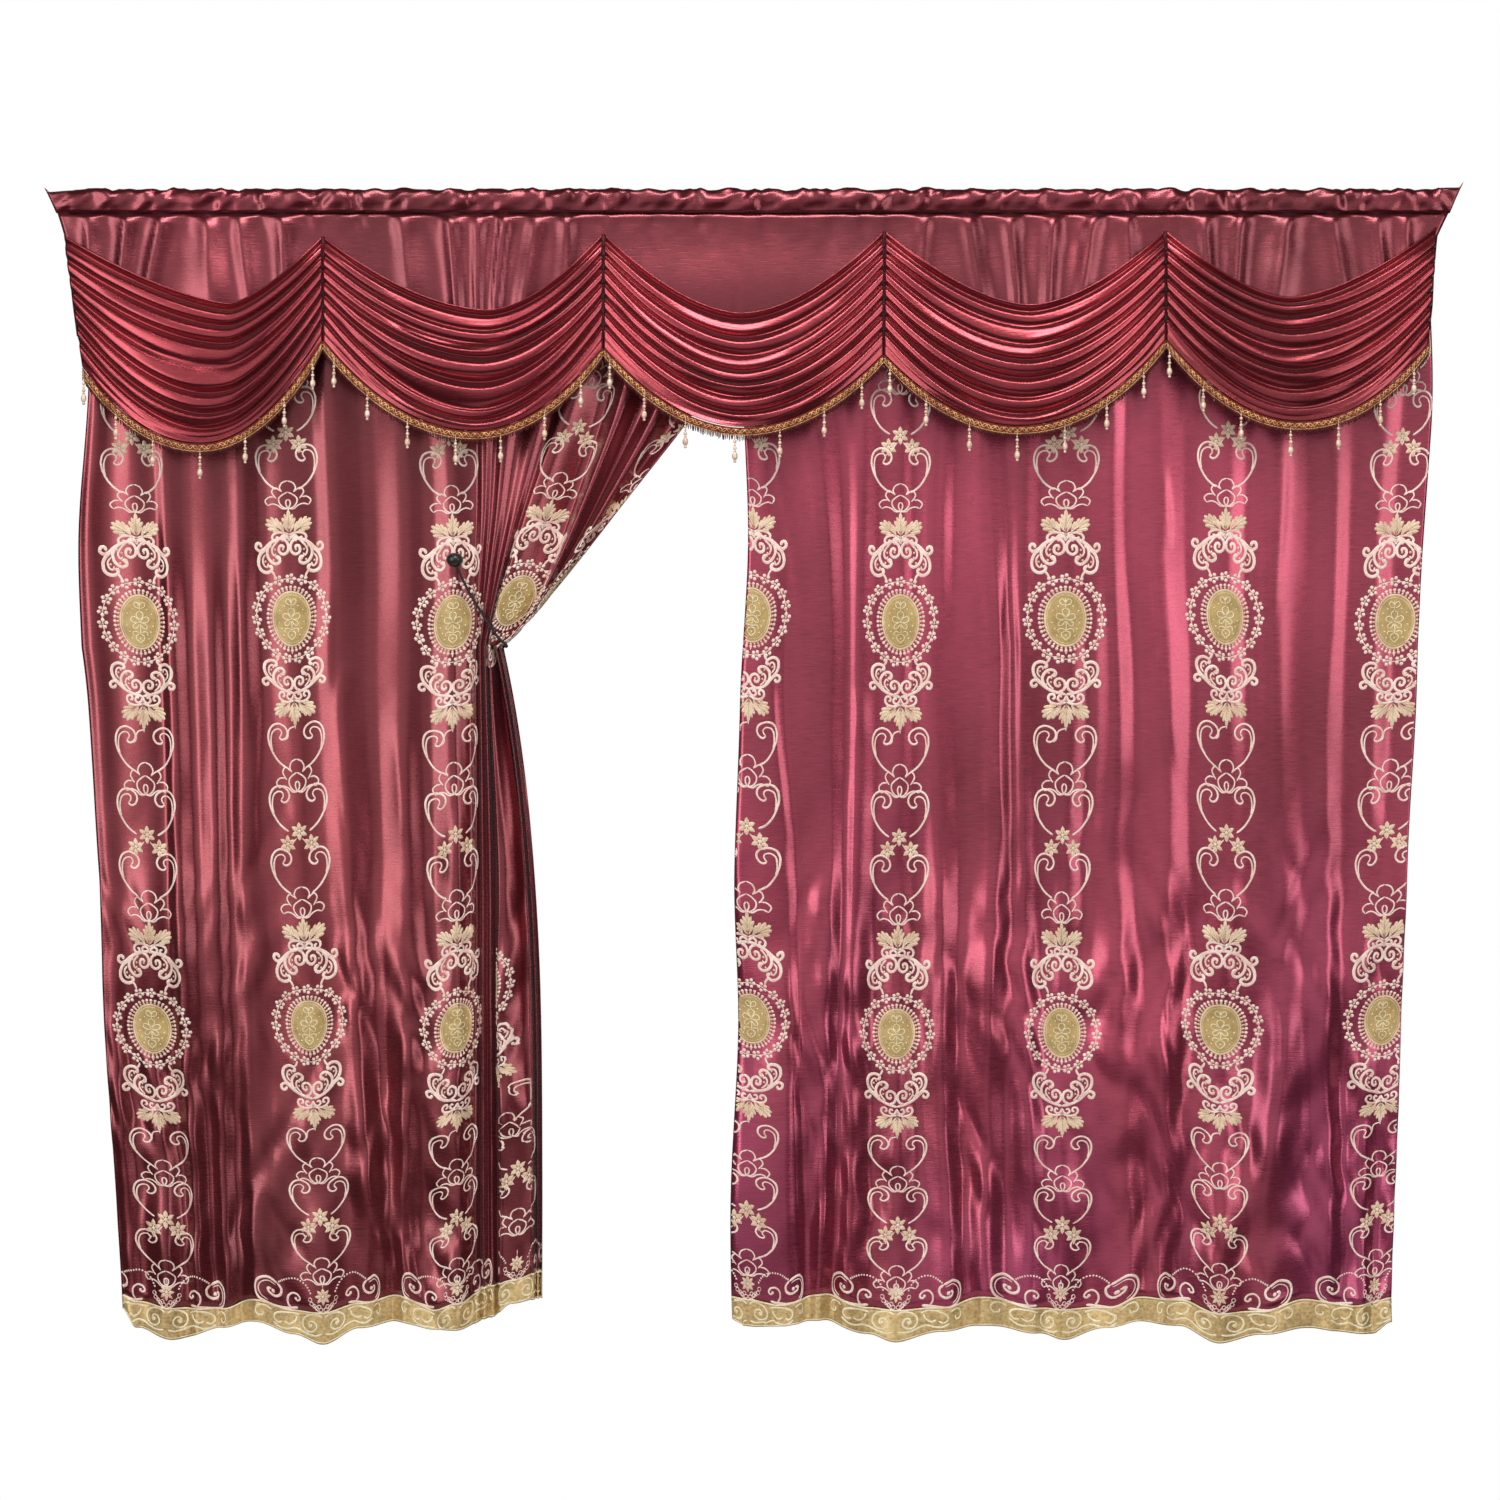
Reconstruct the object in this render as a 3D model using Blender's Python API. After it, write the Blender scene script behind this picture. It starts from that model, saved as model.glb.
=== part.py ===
"""A pair of satin curtains under a five-swag valance, gathered on one rod pocket.

Metres, +Z up. The front faces -Y, +X is to the viewer's right, and the origin is the middle
of the heading's top edge, where a rod holds the curtains up. Tables are in millimetres.
"""

import math

import bmesh
import bpy
import numpy as np

MM = 0.001

# Cloth, braid and the gap that keeps neighbouring pieces apart
CLOTH = 1.6 * MM
BRAID = 2.0 * MM
GAP = 0.3 * MM
HEM_GAP = 0.9 * MM
TRIM_GAP = 1.0 * MM

# Heading: a flattened tube of cloth that a rod slides into, open at both ends
POCKET_LEFT = -1360 * MM
POCKET_RIGHT = 1366 * MM
POCKET_DEEP = 50 * MM
POCKET_STATIONS = 54
GATHER_SWELL = 0.10
GATHER_RISE = 3.0 * MM
SEAM_Z = -POCKET_DEEP - GAP
BASE_SEAM_Y = -8.0 * MM
PANEL_SEAM_Y = 3.0 * MM

# Levels down a panel: under the swags, and where the cord draws the cloth together
BROW_Z = -490 * MM
TIE_Z = -918 * MM

# The section of the heading, from its lower front corner up and over to its lower back corner
SECTION_COLUMNS = ("y", "z")
HEADING_SECTION = (
    (-9.0, -49.2),
    (-16.0, -26.0),
    (-9.0, -4.0),
    (9.0, -4.0),
    (16.0, -26.0),
    (9.0, -49.2),
)

# The pointed corners of the heading's front layer: x at the top, middle and seam, then the tip's z
EAR_COLUMNS = ("top_x", "middle_x", "seam_x", "tip_z")
LEFT_EAR = (-1420, -1407, -1396, 0.0)
RIGHT_EAR = (1416, 1401, 1388, 12.0)
EAR_TOP_Y = -11.0 * MM
EAR_MIDDLE_Y = -13.0 * MM

# Ripples of the flat cloth behind the swags: where each ridge stands and how far it comes out
RIPPLE_COLUMNS = ("x", "width", "out")
BASE_RIPPLES = (
    (-1334, 20, 4.0),
    (-1252, 22, 4.5),
    (-1184, 26, 5.0),
    (-1094, 30, 5.5),
    (-1034, 22, 4.0),
    (-944, 24, 4.0),
    (-706, 20, 3.5),
    (-612, 26, 5.5),
    (-552, 22, 5.0),
    (-498, 20, 4.5),
    (-434, 26, 4.5),
    (-376, 20, 4.0),
    (340, 22, 3.5),
    (424, 24, 4.5),
    (505, 24, 4.5),
    (596, 28, 5.0),
    (676, 22, 4.5),
    (744, 22, 4.0),
    (896, 24, 4.5),
    (972, 26, 5.0),
    (1064, 28, 5.0),
    (1150, 24, 4.5),
    (1236, 24, 4.5),
    (1300, 20, 4.0),
)
BASE_FOOT_Z = -300 * MM
BASE_OUT = 24 * MM
BASE_EASE_DEEP = 110 * MM
SEWN_WIDE = 34 * MM
BASE_SIDE_COLUMNS = ("z", "left_x", "right_x")
BASE_SIDES = (
    (-50, -1394, 1386),
    (-98, -1379, 1363),
    (-175, -1367, 1354),
    (-240, -1359, 1350),
    (-300, -1351, 1343),
)

# Ruches: the six upright lines where the swags are drawn up and sewn to the cloth behind
RUCHE_COLUMNS = ("top_x", "top_z", "foot_x", "foot_z")
RUCHES = (
    (-1378, -98, -1339, -362),
    (-861, -100, -860, -308),
    (-302, -94, -302, -322),
    (258, -88, 256, -336),
    (818, -88, 818, -306),
    (1360, -80, 1341, -314),
)

# Swags: where the upper and lower edges hang lowest, and how round each edge is
SWAG_COLUMNS = ("top_low_x", "top_low_z", "foot_low_x", "foot_low_z", "top_round", "foot_round")
SWAGS = (
    (-1044, -238, -1096, -517, 1.45, 2.0),
    (-532, -251, -556, -492, 1.75, 2.0),
    (-26, -257, -24, -485, 1.75, 1.95),
    (546, -240, 522, -482, 1.70, 2.0),
    (1060, -224, 1077, -473, 1.65, 2.0),
)
# How far down the middle of each swag its valleys lie, as parts of its height there
SWAG_VALLEYS = (
    (0.05, 0.17, 0.30, 0.48, 0.66, 0.80, 0.905),
    (0.05, 0.17, 0.28, 0.39, 0.60, 0.825, 0.915),
    (0.05, 0.21, 0.38, 0.51, 0.62, 0.73, 0.87),
    (0.06, 0.18, 0.33, 0.46, 0.61, 0.77, 0.90),
    (0.05, 0.16, 0.27, 0.43, 0.59, 0.75, 0.89),
)
RIDGE_PLACE = 0.52
FLAT_HEM_START = 0.968
SWAG_SPREAD = 1.6
SWAG_STATIONS = 13
SWAG_OUT_TOP = 25 * MM
SWAG_OUT_MIDDLE = 52 * MM
SWAG_OUT_FOOT = 46 * MM
SWAG_FOLD = 5.5 * MM
RUCHE_FOLD = 3.5 * MM
RUCHE_PART = 0.9 * MM
SEWN_EASE = 0.5 * MM

# Trim: braid with a short brush fringe and bead drops, along each swag's lower edge
BRAID_DEEP = 17 * MM
BRUSH_LONG = 13 * MM
BRUSH_TAPER = 0.62
LOCKS_BETWEEN_DROPS = 3
DROP_ROOT_WIDE = 3.2 * MM
DROPS = (
    (-1338, -1268, -1192, -1097, -1008, -933, -879),
    (-837, -769, -688, -592, -503, -417, -346),
    (-289, -220, -138, -40, 49, 137, 212),
    (268, 339, 424, 518, 613, 697, 772),
    (824, 889, 962, 1059, 1154, 1239, 1309),
)
DROP_COLUMNS = ("down", "half_width")
DROP_SHAPE = (
    (8, 0.9),
    (18, 2.3),
    (30, 1.1),
    (43, 4.0),
    (54, 1.4),
)

# Fold lines of the panels, left to right: ridges (y below zero) and valleys, as x and y at
# the heading's seam, under the swags, at the tie and at the foot. "bow" is how round the line
# comes into the tie, and "settle" how soon it hangs straight below it.
# A curtain that hangs free has shallow folds, a little deeper at its foot. Lines that settle
# late are those drawn aside, whose depths are the table's own.
HANGING_DEEP = 0.38
HANGING_FOOT_DEEP = 0.62
DRAWN_SETTLE = 2.0
FOLD_COLUMNS = ("seam_x", "brow_x", "tie_x", "foot_x", "brow_y", "tie_y", "foot_y", "bow", "settle")
PLAIN_COLUMNS = ("bow", "settle")
LEFT_FOLDS = (
    (-1338, -1344, -1352, -1270, 4, 6, 4, 1.0, 1.3),
    (-1314, -1328, -1328, -1250, -10, -8, -8, 1.0, 1.2),
    (-1286, -1294, -1290, -1224, 10, 10, 12, 1.0, 1.1),
    (-1250, -1254, -1234, -1178, -8, -6, -8, 1.0, 1.0),
    (-1214, -1214, -1200, -1142, 10, 12, 14, 1.0, 1.0),
    (-1188, -1190, -1174, -1114, -13, -14, -12, 1.0, 1.0),
    (-1142, -1142, -1134, -1082, 12, 14, 10, 1.0, 1.0),
    (-1098, -1096, -1092, -1058, -8, -12, -14, 1.0, 1.0),
    (-1066, -1066, -1062, -1032, 10, 10, 14, 1.0, 1.0),
    (-1034, -1032, -1028, -1000, -14, -14, -12, 1.0, 1.0),
    (-986, -986, -982, -942, 12, 10, 14, 1.0, 1.0),
    (-938, -938, -924, -868, -6, -6, -10, 1.0, 1.0),
    (-894, -894, -882, -816, 8, 8, 10, 1.0, 1.0),
    (-856, -856, -838, -768, -12, -14, -12, 1.0, 1.0),
    (-778, -774, -762, -728, 14, 14, 14, 1.0, 1.0),
    (-710, -704, -698, -694, -10, -14, -14, 1.0, 1.0),
    (-662, -662, -656, -654, 10, 12, 12, 1.0, 1.0),
    (-612, -614, -606, -590, -14, -15, -16, 1.0, 1.0),
    (-534, -556, -572, -566, 22, 20, 20, 1.0, 1.0),
    (-504, -536, -560, -556, -10, -12, -4, 1.0, 2.1),
    (-476, -514, -555, -548, 10, -3, 12, 1.0, 2.1),
    (-448, -494, -550, -541, -12, -15, -6, 1.0, 2.1),
    (-416, -466, -545, -533, 10, -5, 10, 1.05, 2.1),
    (-382, -436, -540, -524, -12, -17, 2, 1.1, 2.1),
    (-354, -414, -535, -516, 4, 16, 20, 1.15, 2.1),
    (-330, -396, -530, -508, -14, -18, -14, 1.2, 2.4),
    (-250, -316, -521, -448, 18, 14, -4, 0.60, 3.6),
    (-206, -282, -517, -443, -20, -18, -12, 0.66, 3.6),
    (-160, -246, -513, -438, 20, -6, 8, 0.72, 3.6),
    (-114, -212, -510, -434, -18, -16, -4, 0.78, 3.6),
    (-70, -180, -506, -430, 14, -4, 10, 0.84, 3.6),
    (-30, -150, -503, -425, -6, 0, -4, 0.90, 3.6),
)
RIGHT_FOLDS = (
    (-20, -20, -24, -51, 4, 5, 4, 1.0, 1.0),
    (12, 12, 40, 86, -10, -12, -12, 1.0, 1.0),
    (44, 62, 66, 106, 10, 10, 10, 1.0, 1.0),
    (120, 118, 150, 130, -13, -14, -14, 1.0, 1.0),
    (176, 178, 182, 158, 14, 10, 12, 1.0, 1.0),
    (212, 216, 200, 186, -10, -12, -13, 1.0, 1.0),
    (256, 256, 246, 234, 8, 9, 10, 1.0, 1.0),
    (292, 292, 290, 280, -5, -6, -8, 1.0, 1.0),
    (322, 322, 322, 326, 9, 8, 10, 1.0, 1.0),
    (356, 350, 356, 380, -13, -14, -12, 1.0, 1.0),
    (412, 412, 412, 418, 14, 14, 12, 1.0, 1.0),
    (456, 460, 490, 452, -14, -14, -12, 1.0, 1.0),
    (500, 500, 520, 500, 9, 9, 10, 1.0, 1.0),
    (546, 540, 536, 548, -11, -10, -10, 1.0, 1.0),
    (586, 582, 578, 580, 9, 10, 11, 1.0, 1.0),
    (626, 622, 618, 610, -6, -6, -9, 1.0, 1.0),
    (664, 662, 664, 668, 11, 12, 11, 1.0, 1.0),
    (698, 702, 716, 744, -13, -13, -13, 1.0, 1.0),
    (742, 742, 762, 782, 9, 9, 9, 1.0, 1.0),
    (780, 792, 824, 812, -13, -13, -12, 1.0, 1.0),
    (872, 876, 876, 862, 14, 14, 13, 1.0, 1.0),
    (952, 950, 942, 930, -6, -7, -9, 1.0, 1.0),
    (1000, 998, 992, 984, 10, 11, 11, 1.0, 1.0),
    (1044, 1042, 1046, 1034, -14, -14, -13, 1.0, 1.0),
    (1124, 1122, 1110, 1104, 8, 9, 9, 1.0, 1.0),
    (1160, 1160, 1150, 1140, -5, -6, -7, 1.0, 1.0),
    (1204, 1200, 1184, 1172, 14, 14, 13, 1.0, 1.0),
    (1250, 1248, 1232, 1206, -12, -12, -11, 1.0, 1.0),
    (1296, 1292, 1278, 1236, 9, 9, 10, 1.0, 1.0),
    (1346, 1352, 1322, 1270, -3, -3, -4, 1.0, 1.0),
)
# Between two fold lines the cloth is sampled at these parts of the way, which leaves each crest round
FOLD_SAMPLES = (0.2, 0.8)
ROWS_ABOVE_TIE = (0.0, 0.25, 0.506, 0.72, 0.88, 0.96, 1.0)
ROWS_BELOW_TIE = (0.05, 0.14, 0.32, 0.56, 0.80, 1.0)
RIGHT_ROWS_ABOVE = (0.0, 0.25, 0.506, 1.0)
RIGHT_ROWS_BELOW = (0.25, 0.5, 0.75, 1.0)
SEAM_FOLD = 0.12

# The gold border: where the panel stops and where the scalloped hem runs, along each foot
HEM_COLUMNS = ("x", "top_z", "foot_z")
LEFT_HEM = (
    (-1270, -2216, -2242),
    (-1240, -2228, -2280),
    (-1162, -2240, -2303),
    (-1070, -2242, -2280),
    (-1004, -2222, -2266),
    (-930, -2244, -2292),
    (-870, -2248, -2312),
    (-796, -2230, -2280),
    (-708, -2216, -2268),
    (-636, -2244, -2283),
    (-590, -2230, -2283),
    (-530, -2196, -2260),
    (-486, -2184, -2231),
    (-424, -2166, -2220),
)
RIGHT_HEM = (
    (-52, -2216, -2262),
    (-20, -2222, -2278),
    (50, -2234, -2276),
    (137, -2212, -2264),
    (230, -2240, -2293),
    (280, -2244, -2307),
    (370, -2238, -2286),
    (452, -2216, -2273),
    (558, -2240, -2290),
    (622, -2244, -2304),
    (710, -2240, -2280),
    (768, -2218, -2266),
    (858, -2226, -2278),
    (932, -2250, -2310),
    (1010, -2246, -2292),
    (1094, -2224, -2281),
    (1192, -2236, -2290),
    (1232, -2230, -2291),
    (1270, -2220, -2268),
)

# The tie: a cord drawn round the bunch, its knob in front and a knot behind the cloth
KNOB_AT = (-600 * MM, -744 * MM)
KNOB_WIDE = 34 * MM
KNOB_TALL = 28 * MM
KNOB_DEEP = 20 * MM
KNOB_BACK_Y = -5.8 * MM
CORD_RADIUS = 2.0 * MM
ROUTE_COLUMNS = ("x", "y", "z", "thickness")
CORD_ROUTE = (
    (-594, -15.0, -757.4, 1.0),
    (-588, -17.0, -774, 1.0),
    (-572, -18.5, -806, 1.0),
    (-552, -20.0, -840, 1.0),
    (-532, -22.0, -872, 1.0),
    (-511, -23.0, -901, 1.0),
    (-496, -19.0, -913.5, 1.0),
    (-493, -2.0, -917, 1.0),
    (-498, 13.5, -915, 1.0),
    (-514, 21.5, -906, 1.0),
    (-540, 20.5, -880, 1.0),
    (-562, 17.0, -846, 1.0),
    (-580, 15.5, -806, 1.0),
    (-592, 15.0, -776, 1.0),
    (-596, 15.5, -768, 1.9),
    (-599, 15.5, -760, 2.1),
    (-601, 15.5, -752, 1.6),
)

SATIN_LEFT = (0.545, 0.205, 0.270)
SATIN_RIGHT = (0.590, 0.220, 0.320)
SATIN_VALANCE = (0.580, 0.180, 0.250)
SATIN_SWAG = (0.600, 0.150, 0.225)
BORDER_GOLD = (0.745, 0.640, 0.370)
BRAID_RUST = (0.640, 0.360, 0.170)
TIE_DARK = (0.120, 0.120, 0.110)


def clear_objects():
    """Empty the scene before the model is made."""
    for thing in list(bpy.data.objects):
        bpy.data.objects.remove(thing, do_unlink=True)


def linear(colour):
    """Turn a colour as it looks on a screen into the light values that a shader takes."""
    return tuple(((c + 0.055) / 1.055) ** 2.4 if c > 0.04045 else c / 12.92 for c in colour)


def finish(name, colour, roughness, metallic=0.0):
    """One Principled material in a plain colour."""
    material = bpy.data.materials.new(name)
    material.use_nodes = True
    shader = material.node_tree.nodes["Principled BSDF"]
    shader.inputs["Base Color"].default_value = (*linear(colour), 1.0)
    shader.inputs["Roughness"].default_value = roughness
    shader.inputs["Metallic"].default_value = metallic
    return material


def smooth(part):
    """Ease from 0 to 1, level at both ends."""
    part = np.clip(part, 0.0, 1.0)
    return part * part * (3.0 - 2.0 * part)


def eased(x, knots, values):
    """Read a table between its rows, level at every row."""
    place = np.clip(np.searchsorted(knots, x, side="right") - 1, 0, len(knots) - 2)
    start, end = knots[place], knots[place + 1]
    part = smooth((x - start) / (end - start))
    return values[place] * (1.0 - part) + values[place + 1] * part


def table(rows, columns, plain=()):
    """A table as one array for each named column, in metres but for the plain ones."""
    scale = {name: 1.0 if name in plain else MM for name in columns}
    return {name: np.array([row[i] for row in rows]) * scale[name] for i, name in enumerate(columns)}


def keep(name, mesh, material):
    """Put a finished mesh in the scene as one named piece."""
    mesh.materials.append(material)
    piece = bpy.data.objects.new(name, mesh)
    bpy.context.scene.collection.objects.link(piece)
    return piece


def cloth_piece(name, grid, material, thickness=CLOTH, round_tube=False, extra=()):
    """Sew a grid of points on the middle of a sheet into one thin solid.

    round_tube joins the last column to the first. extra adds rows of points past the ends of
    chosen columns, as (row, columns, points), for corners that stand out of the grid.
    """
    bm = bmesh.new()
    verts = [[bm.verts.new(point) for point in row] for row in grid]
    across = len(verts[0])
    for upper, lower in zip(verts, verts[1:]):
        for i in range(across if round_tube else across - 1):
            j = (i + 1) % across
            bm.faces.new((upper[i], upper[j], lower[j], lower[i]))
    for row, columns, points in extra:
        outer = [bm.verts.new(point) for point in points]
        for (i, j), (a, b) in zip(zip(columns, columns[1:]), zip(outer, outer[1:])):
            inner = verts[row]
            bm.faces.new((a, b, inner[j], inner[i]))
    bmesh.ops.recalc_face_normals(bm, faces=bm.faces)
    mesh = bpy.data.meshes.new(name)
    bm.to_mesh(mesh)
    bm.free()
    piece = keep(name, mesh, material)
    shell = piece.modifiers.new("thickness", "SOLIDIFY")
    shell.thickness = thickness
    shell.offset = 0.0
    shell.use_even_offset = False
    mesh.shade_smooth()
    return piece


def gathers(x):
    """Uneven little gathers along the rod, from -1 to 1."""
    return 0.5 * np.sin(x * 61.0) + 0.3 * np.sin(x * 97.0 + 1.7) + 0.2 * np.sin(x * 23.0 + 0.6)


def make_heading(material):
    """The rod pocket, gathered along the rod, with a pointed corner at each end."""
    section = table(HEADING_SECTION, SECTION_COLUMNS)
    lift = (section["z"] - section["z"].min()) / np.ptp(section["z"])
    grid = []
    for x in np.linspace(POCKET_LEFT, POCKET_RIGHT, POCKET_STATIONS):
        ys = section["y"] * (1.0 + GATHER_SWELL * gathers(x) * np.sqrt(lift))
        zs = section["z"] + GATHER_RISE * gathers(x * 1.3 + 0.4) * lift ** 3
        grid.append([(x, y, z) for y, z in zip(ys, zs)])
    front = (2, 1, 0)
    ears = []
    for row, ear in ((0, LEFT_EAR), (len(grid) - 1, RIGHT_EAR)):
        top_x, middle_x, seam_x, tip_z = (value * MM for value in ear)
        seam_z = section["z"][0]
        points = (
            (top_x, EAR_TOP_Y, tip_z),
            (middle_x, EAR_MIDDLE_Y, (tip_z + seam_z) / 2),
            (seam_x, BASE_SEAM_Y, seam_z),
        )
        ears.append((row, front, points))
    return cloth_piece("heading_pocket", grid, material, round_tube=True, extra=ears)


def nearest_ruche(x):
    """How far a place along the valance is from the nearest ruche."""
    ruche = table(RUCHES, RUCHE_COLUMNS)
    return np.min(np.abs(ruche["top_x"] - x))


def base_y(x, z):
    """Where the middle of the cloth behind the swags lies."""
    ripple = table(BASE_RIPPLES, RIPPLE_COLUMNS)
    down = smooth((SEAM_Z - z) / BASE_EASE_DEEP)
    out = np.sum(ripple["out"] * np.exp(-(((x - ripple["x"]) / ripple["width"]) ** 2)))
    sewn = 1.0 - math.exp(-((nearest_ruche(x) / SEWN_WIDE) ** 2))
    return BASE_SEAM_Y - down * (BASE_OUT + out * sewn)


def make_base(material):
    """The valance's flat cloth, from the heading down behind the swags."""
    side = table(BASE_SIDES, BASE_SIDE_COLUMNS)
    ripple = table(BASE_RIPPLES, RIPPLE_COLUMNS)
    ruche = table(RUCHES, RUCHE_COLUMNS)
    left, right = side["left_x"][0], side["right_x"][0]
    marks = set(ripple["x"]) | set(ruche["top_x"][1:-1])
    marks.update((ripple["x"][1:] + ripple["x"][:-1]) / 2)
    inner = sorted(x for x in marks if left < x < right)
    parts = [(x - left) / (right - left) for x in [left] + inner + [right]]
    grid = []
    for z in (SEAM_Z, -98 * MM, -175 * MM, BASE_FOOT_Z):
        row_left = np.interp(-z, -side["z"], side["left_x"])
        row_right = np.interp(-z, -side["z"], side["right_x"])
        row = []
        for part in parts:
            x = row_left + part * (row_right - row_left)
            row.append((x, base_y(x, z), z))
        grid.append(row)
    return cloth_piece("valance_base", grid, material)


def swag_edge(number, part, which):
    """A point of a swag's upper or lower edge, part of the way from ruche to ruche."""
    ruche = table(RUCHES, RUCHE_COLUMNS)
    row = dict(zip(SWAG_COLUMNS, SWAGS[number]))
    x0 = ruche[which + "_x"][number] + RUCHE_PART
    x1 = ruche[which + "_x"][number + 1] - RUCHE_PART
    low_x, low_z = row[which + "_low_x"] * MM, row[which + "_low_z"] * MM
    x = x0 + part * (x1 - x0)
    if x < low_x:
        away, end_z = (low_x - x) / (low_x - x0), ruche[which + "_z"][number]
    else:
        away, end_z = (x - low_x) / (x1 - low_x), ruche[which + "_z"][number + 1]
    return x, low_z + (end_z - low_z) * away ** row[which + "_round"], away


def swag_lines(number):
    """The swag's edges, ridges and valleys, as (part of the middle's height, side)."""
    valleys = SWAG_VALLEYS[number]
    lines = [(0.0, 0.0)]
    for upper, lower in zip(valleys, valleys[1:] + (1.0,)):
        lines.append((upper, 1.0))
        lines.append((upper + RIDGE_PLACE * (lower - upper), -1.0))
    lines.append((FLAT_HEM_START, 0.0))
    lines.append((1.0, 0.0))
    return lines


def sewn_y(number, part, z):
    """Where a swag would lie flat: close against the cloth behind at the ruches on either side."""
    ruche_x = table(RUCHES, RUCHE_COLUMNS)["top_x"]
    left, right = (base_y(x, max(z, BASE_FOOT_Z)) for x in ruche_x[number:number + 2])
    return left + (right - left) * part - CLOTH - GAP - RUCHE_FOLD - SEWN_EASE


def swag_point(number, part, line, count, centre, side):
    """One point on the middle of a swag: line is its place down the ruche, of count."""
    x_top, z_top, away_top = swag_edge(number, part, "top")
    x_foot, z_foot, away_foot = swag_edge(number, part, "foot")
    even = line / (count - 1)
    away = (away_top + away_foot) / 2
    down = centre + (even - centre) * away ** SWAG_SPREAD
    x = x_top + (x_foot - x_top) * down
    z = z_top + (z_foot - z_top) * down
    out = np.interp(down, (0.0, 0.5, 1.0), (SWAG_OUT_TOP, SWAG_OUT_MIDDLE, SWAG_OUT_FOOT))
    fold = side * (SWAG_FOLD + (RUCHE_FOLD - SWAG_FOLD) * away ** 2)
    return x, sewn_y(number, part, z) - out * (1.0 - away * away) + fold, z


def make_swag(number, material):
    """One swag, drawn up at the ruches on either side and falling in rounded folds."""
    lines = swag_lines(number)
    parts = 0.5 - 0.5 * np.cos(np.linspace(0.0, math.pi, SWAG_STATIONS))
    parts = 0.5 * parts + 0.5 * np.linspace(0.0, 1.0, SWAG_STATIONS)
    grid = [
        [swag_point(number, part, i, len(lines), centre, side) for part in parts]
        for i, (centre, side) in enumerate(lines)
    ]
    return cloth_piece(f"swag_{number + 1}", grid, material)


def trim_stations(number):
    """Cuts along the braid: a narrow root for each bead drop and even locks between them."""
    ruche = table(RUCHES, RUCHE_COLUMNS)
    left = ruche["foot_x"][number] + RUCHE_PART
    right = ruche["foot_x"][number + 1] - RUCHE_PART
    drops = [x * MM for x in DROPS[number]]
    drops[0] = max(drops[0], left + DROP_ROOT_WIDE)
    drops[-1] = min(drops[-1], right - DROP_ROOT_WIDE)
    cuts = [(left, "lock")]
    for x in drops + [None]:
        end = right if x is None else x - DROP_ROOT_WIDE / 2
        start = cuts[-1][0]
        locks = max(1, min(LOCKS_BETWEEN_DROPS, round((end - start) / (16 * MM))))
        cuts.extend((start + (end - start) * (i + 1) / locks, "lock") for i in range(locks))
        if x is not None:
            cuts[-1] = (cuts[-1][0], "drop")
            cuts.append((x + DROP_ROOT_WIDE / 2, "lock"))
    return cuts


def draw_out(bm, face, rings):
    """Draw a four-sided face down through square rings of (drop, half x, half y)."""
    middle = face.calc_center_median()
    for down, half_x, half_y in rings:
        face = bmesh.ops.extrude_discrete_faces(bm, faces=[face])["faces"][0]
        corner = face.calc_center_median()
        for vert in face.verts:
            side_x = math.copysign(half_x, vert.co.x - corner.x)
            side_y = math.copysign(half_y, vert.co.y - corner.y)
            vert.co = (middle.x + side_x, middle.y + side_y, middle.z - down)


def make_trim(number, material):
    """Braid below one swag, its brush fringe and bead drops grown from its lower edge."""
    ruche = table(RUCHES, RUCHE_COLUMNS)
    left = ruche["foot_x"][number] + RUCHE_PART
    right = ruche["foot_x"][number + 1] - RUCHE_PART
    cuts = trim_stations(number)
    lines = swag_lines(number)
    last = len(lines) - 1
    hem = []
    for x, _ in cuts:
        part = (x - left) / (right - left)
        hem.append(swag_point(number, part, last, len(lines), *lines[last]))
    hem = np.array(hem)
    along = np.gradient(hem, axis=0)
    along /= np.linalg.norm(along[:, :2], axis=1)[:, None]
    steep = np.hypot(1.0, along[:, 2])
    bm = bmesh.new()
    rings = []
    for (x, y, z), (tx, ty, _), slope in zip(hem, along, steep):
        out = (ty * BRAID / 2, -tx * BRAID / 2)
        top, foot = z - TRIM_GAP, z - TRIM_GAP - BRAID_DEEP * slope
        rings.append(
            [
                bm.verts.new((x + out[0], y + out[1], top)),
                bm.verts.new((x - out[0], y - out[1], top)),
                bm.verts.new((x - out[0], y - out[1], foot)),
                bm.verts.new((x + out[0], y + out[1], foot)),
            ]
        )
    under = []
    for (_, kind), near, far in zip(cuts, rings, rings[1:]):
        for i in range(4):
            j = (i + 1) % 4
            face = bm.faces.new((near[i], near[j], far[j], far[i]))
            if i == 2:
                under.append((face, kind))
    bm.faces.new(rings[0][::-1])
    bm.faces.new(rings[-1])
    bmesh.ops.recalc_face_normals(bm, faces=bm.faces)
    drop = table(DROP_SHAPE, DROP_COLUMNS)
    bead_string = [(down, half, half) for down, half in zip(drop["down"], drop["half_width"])]
    for face, kind in under:
        wide, deep, tall = np.ptp([vert.co for vert in face.verts], axis=0)
        lock = [(BRUSH_LONG + tall / 2, wide / 2 * BRUSH_TAPER, deep / 2 * BRUSH_TAPER)]
        draw_out(bm, face, bead_string if kind == "drop" else lock)
    mesh = bpy.data.meshes.new(f"trim_{number + 1}")
    bm.to_mesh(mesh)
    bm.free()
    return keep(f"trim_{number + 1}", mesh, material)


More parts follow.
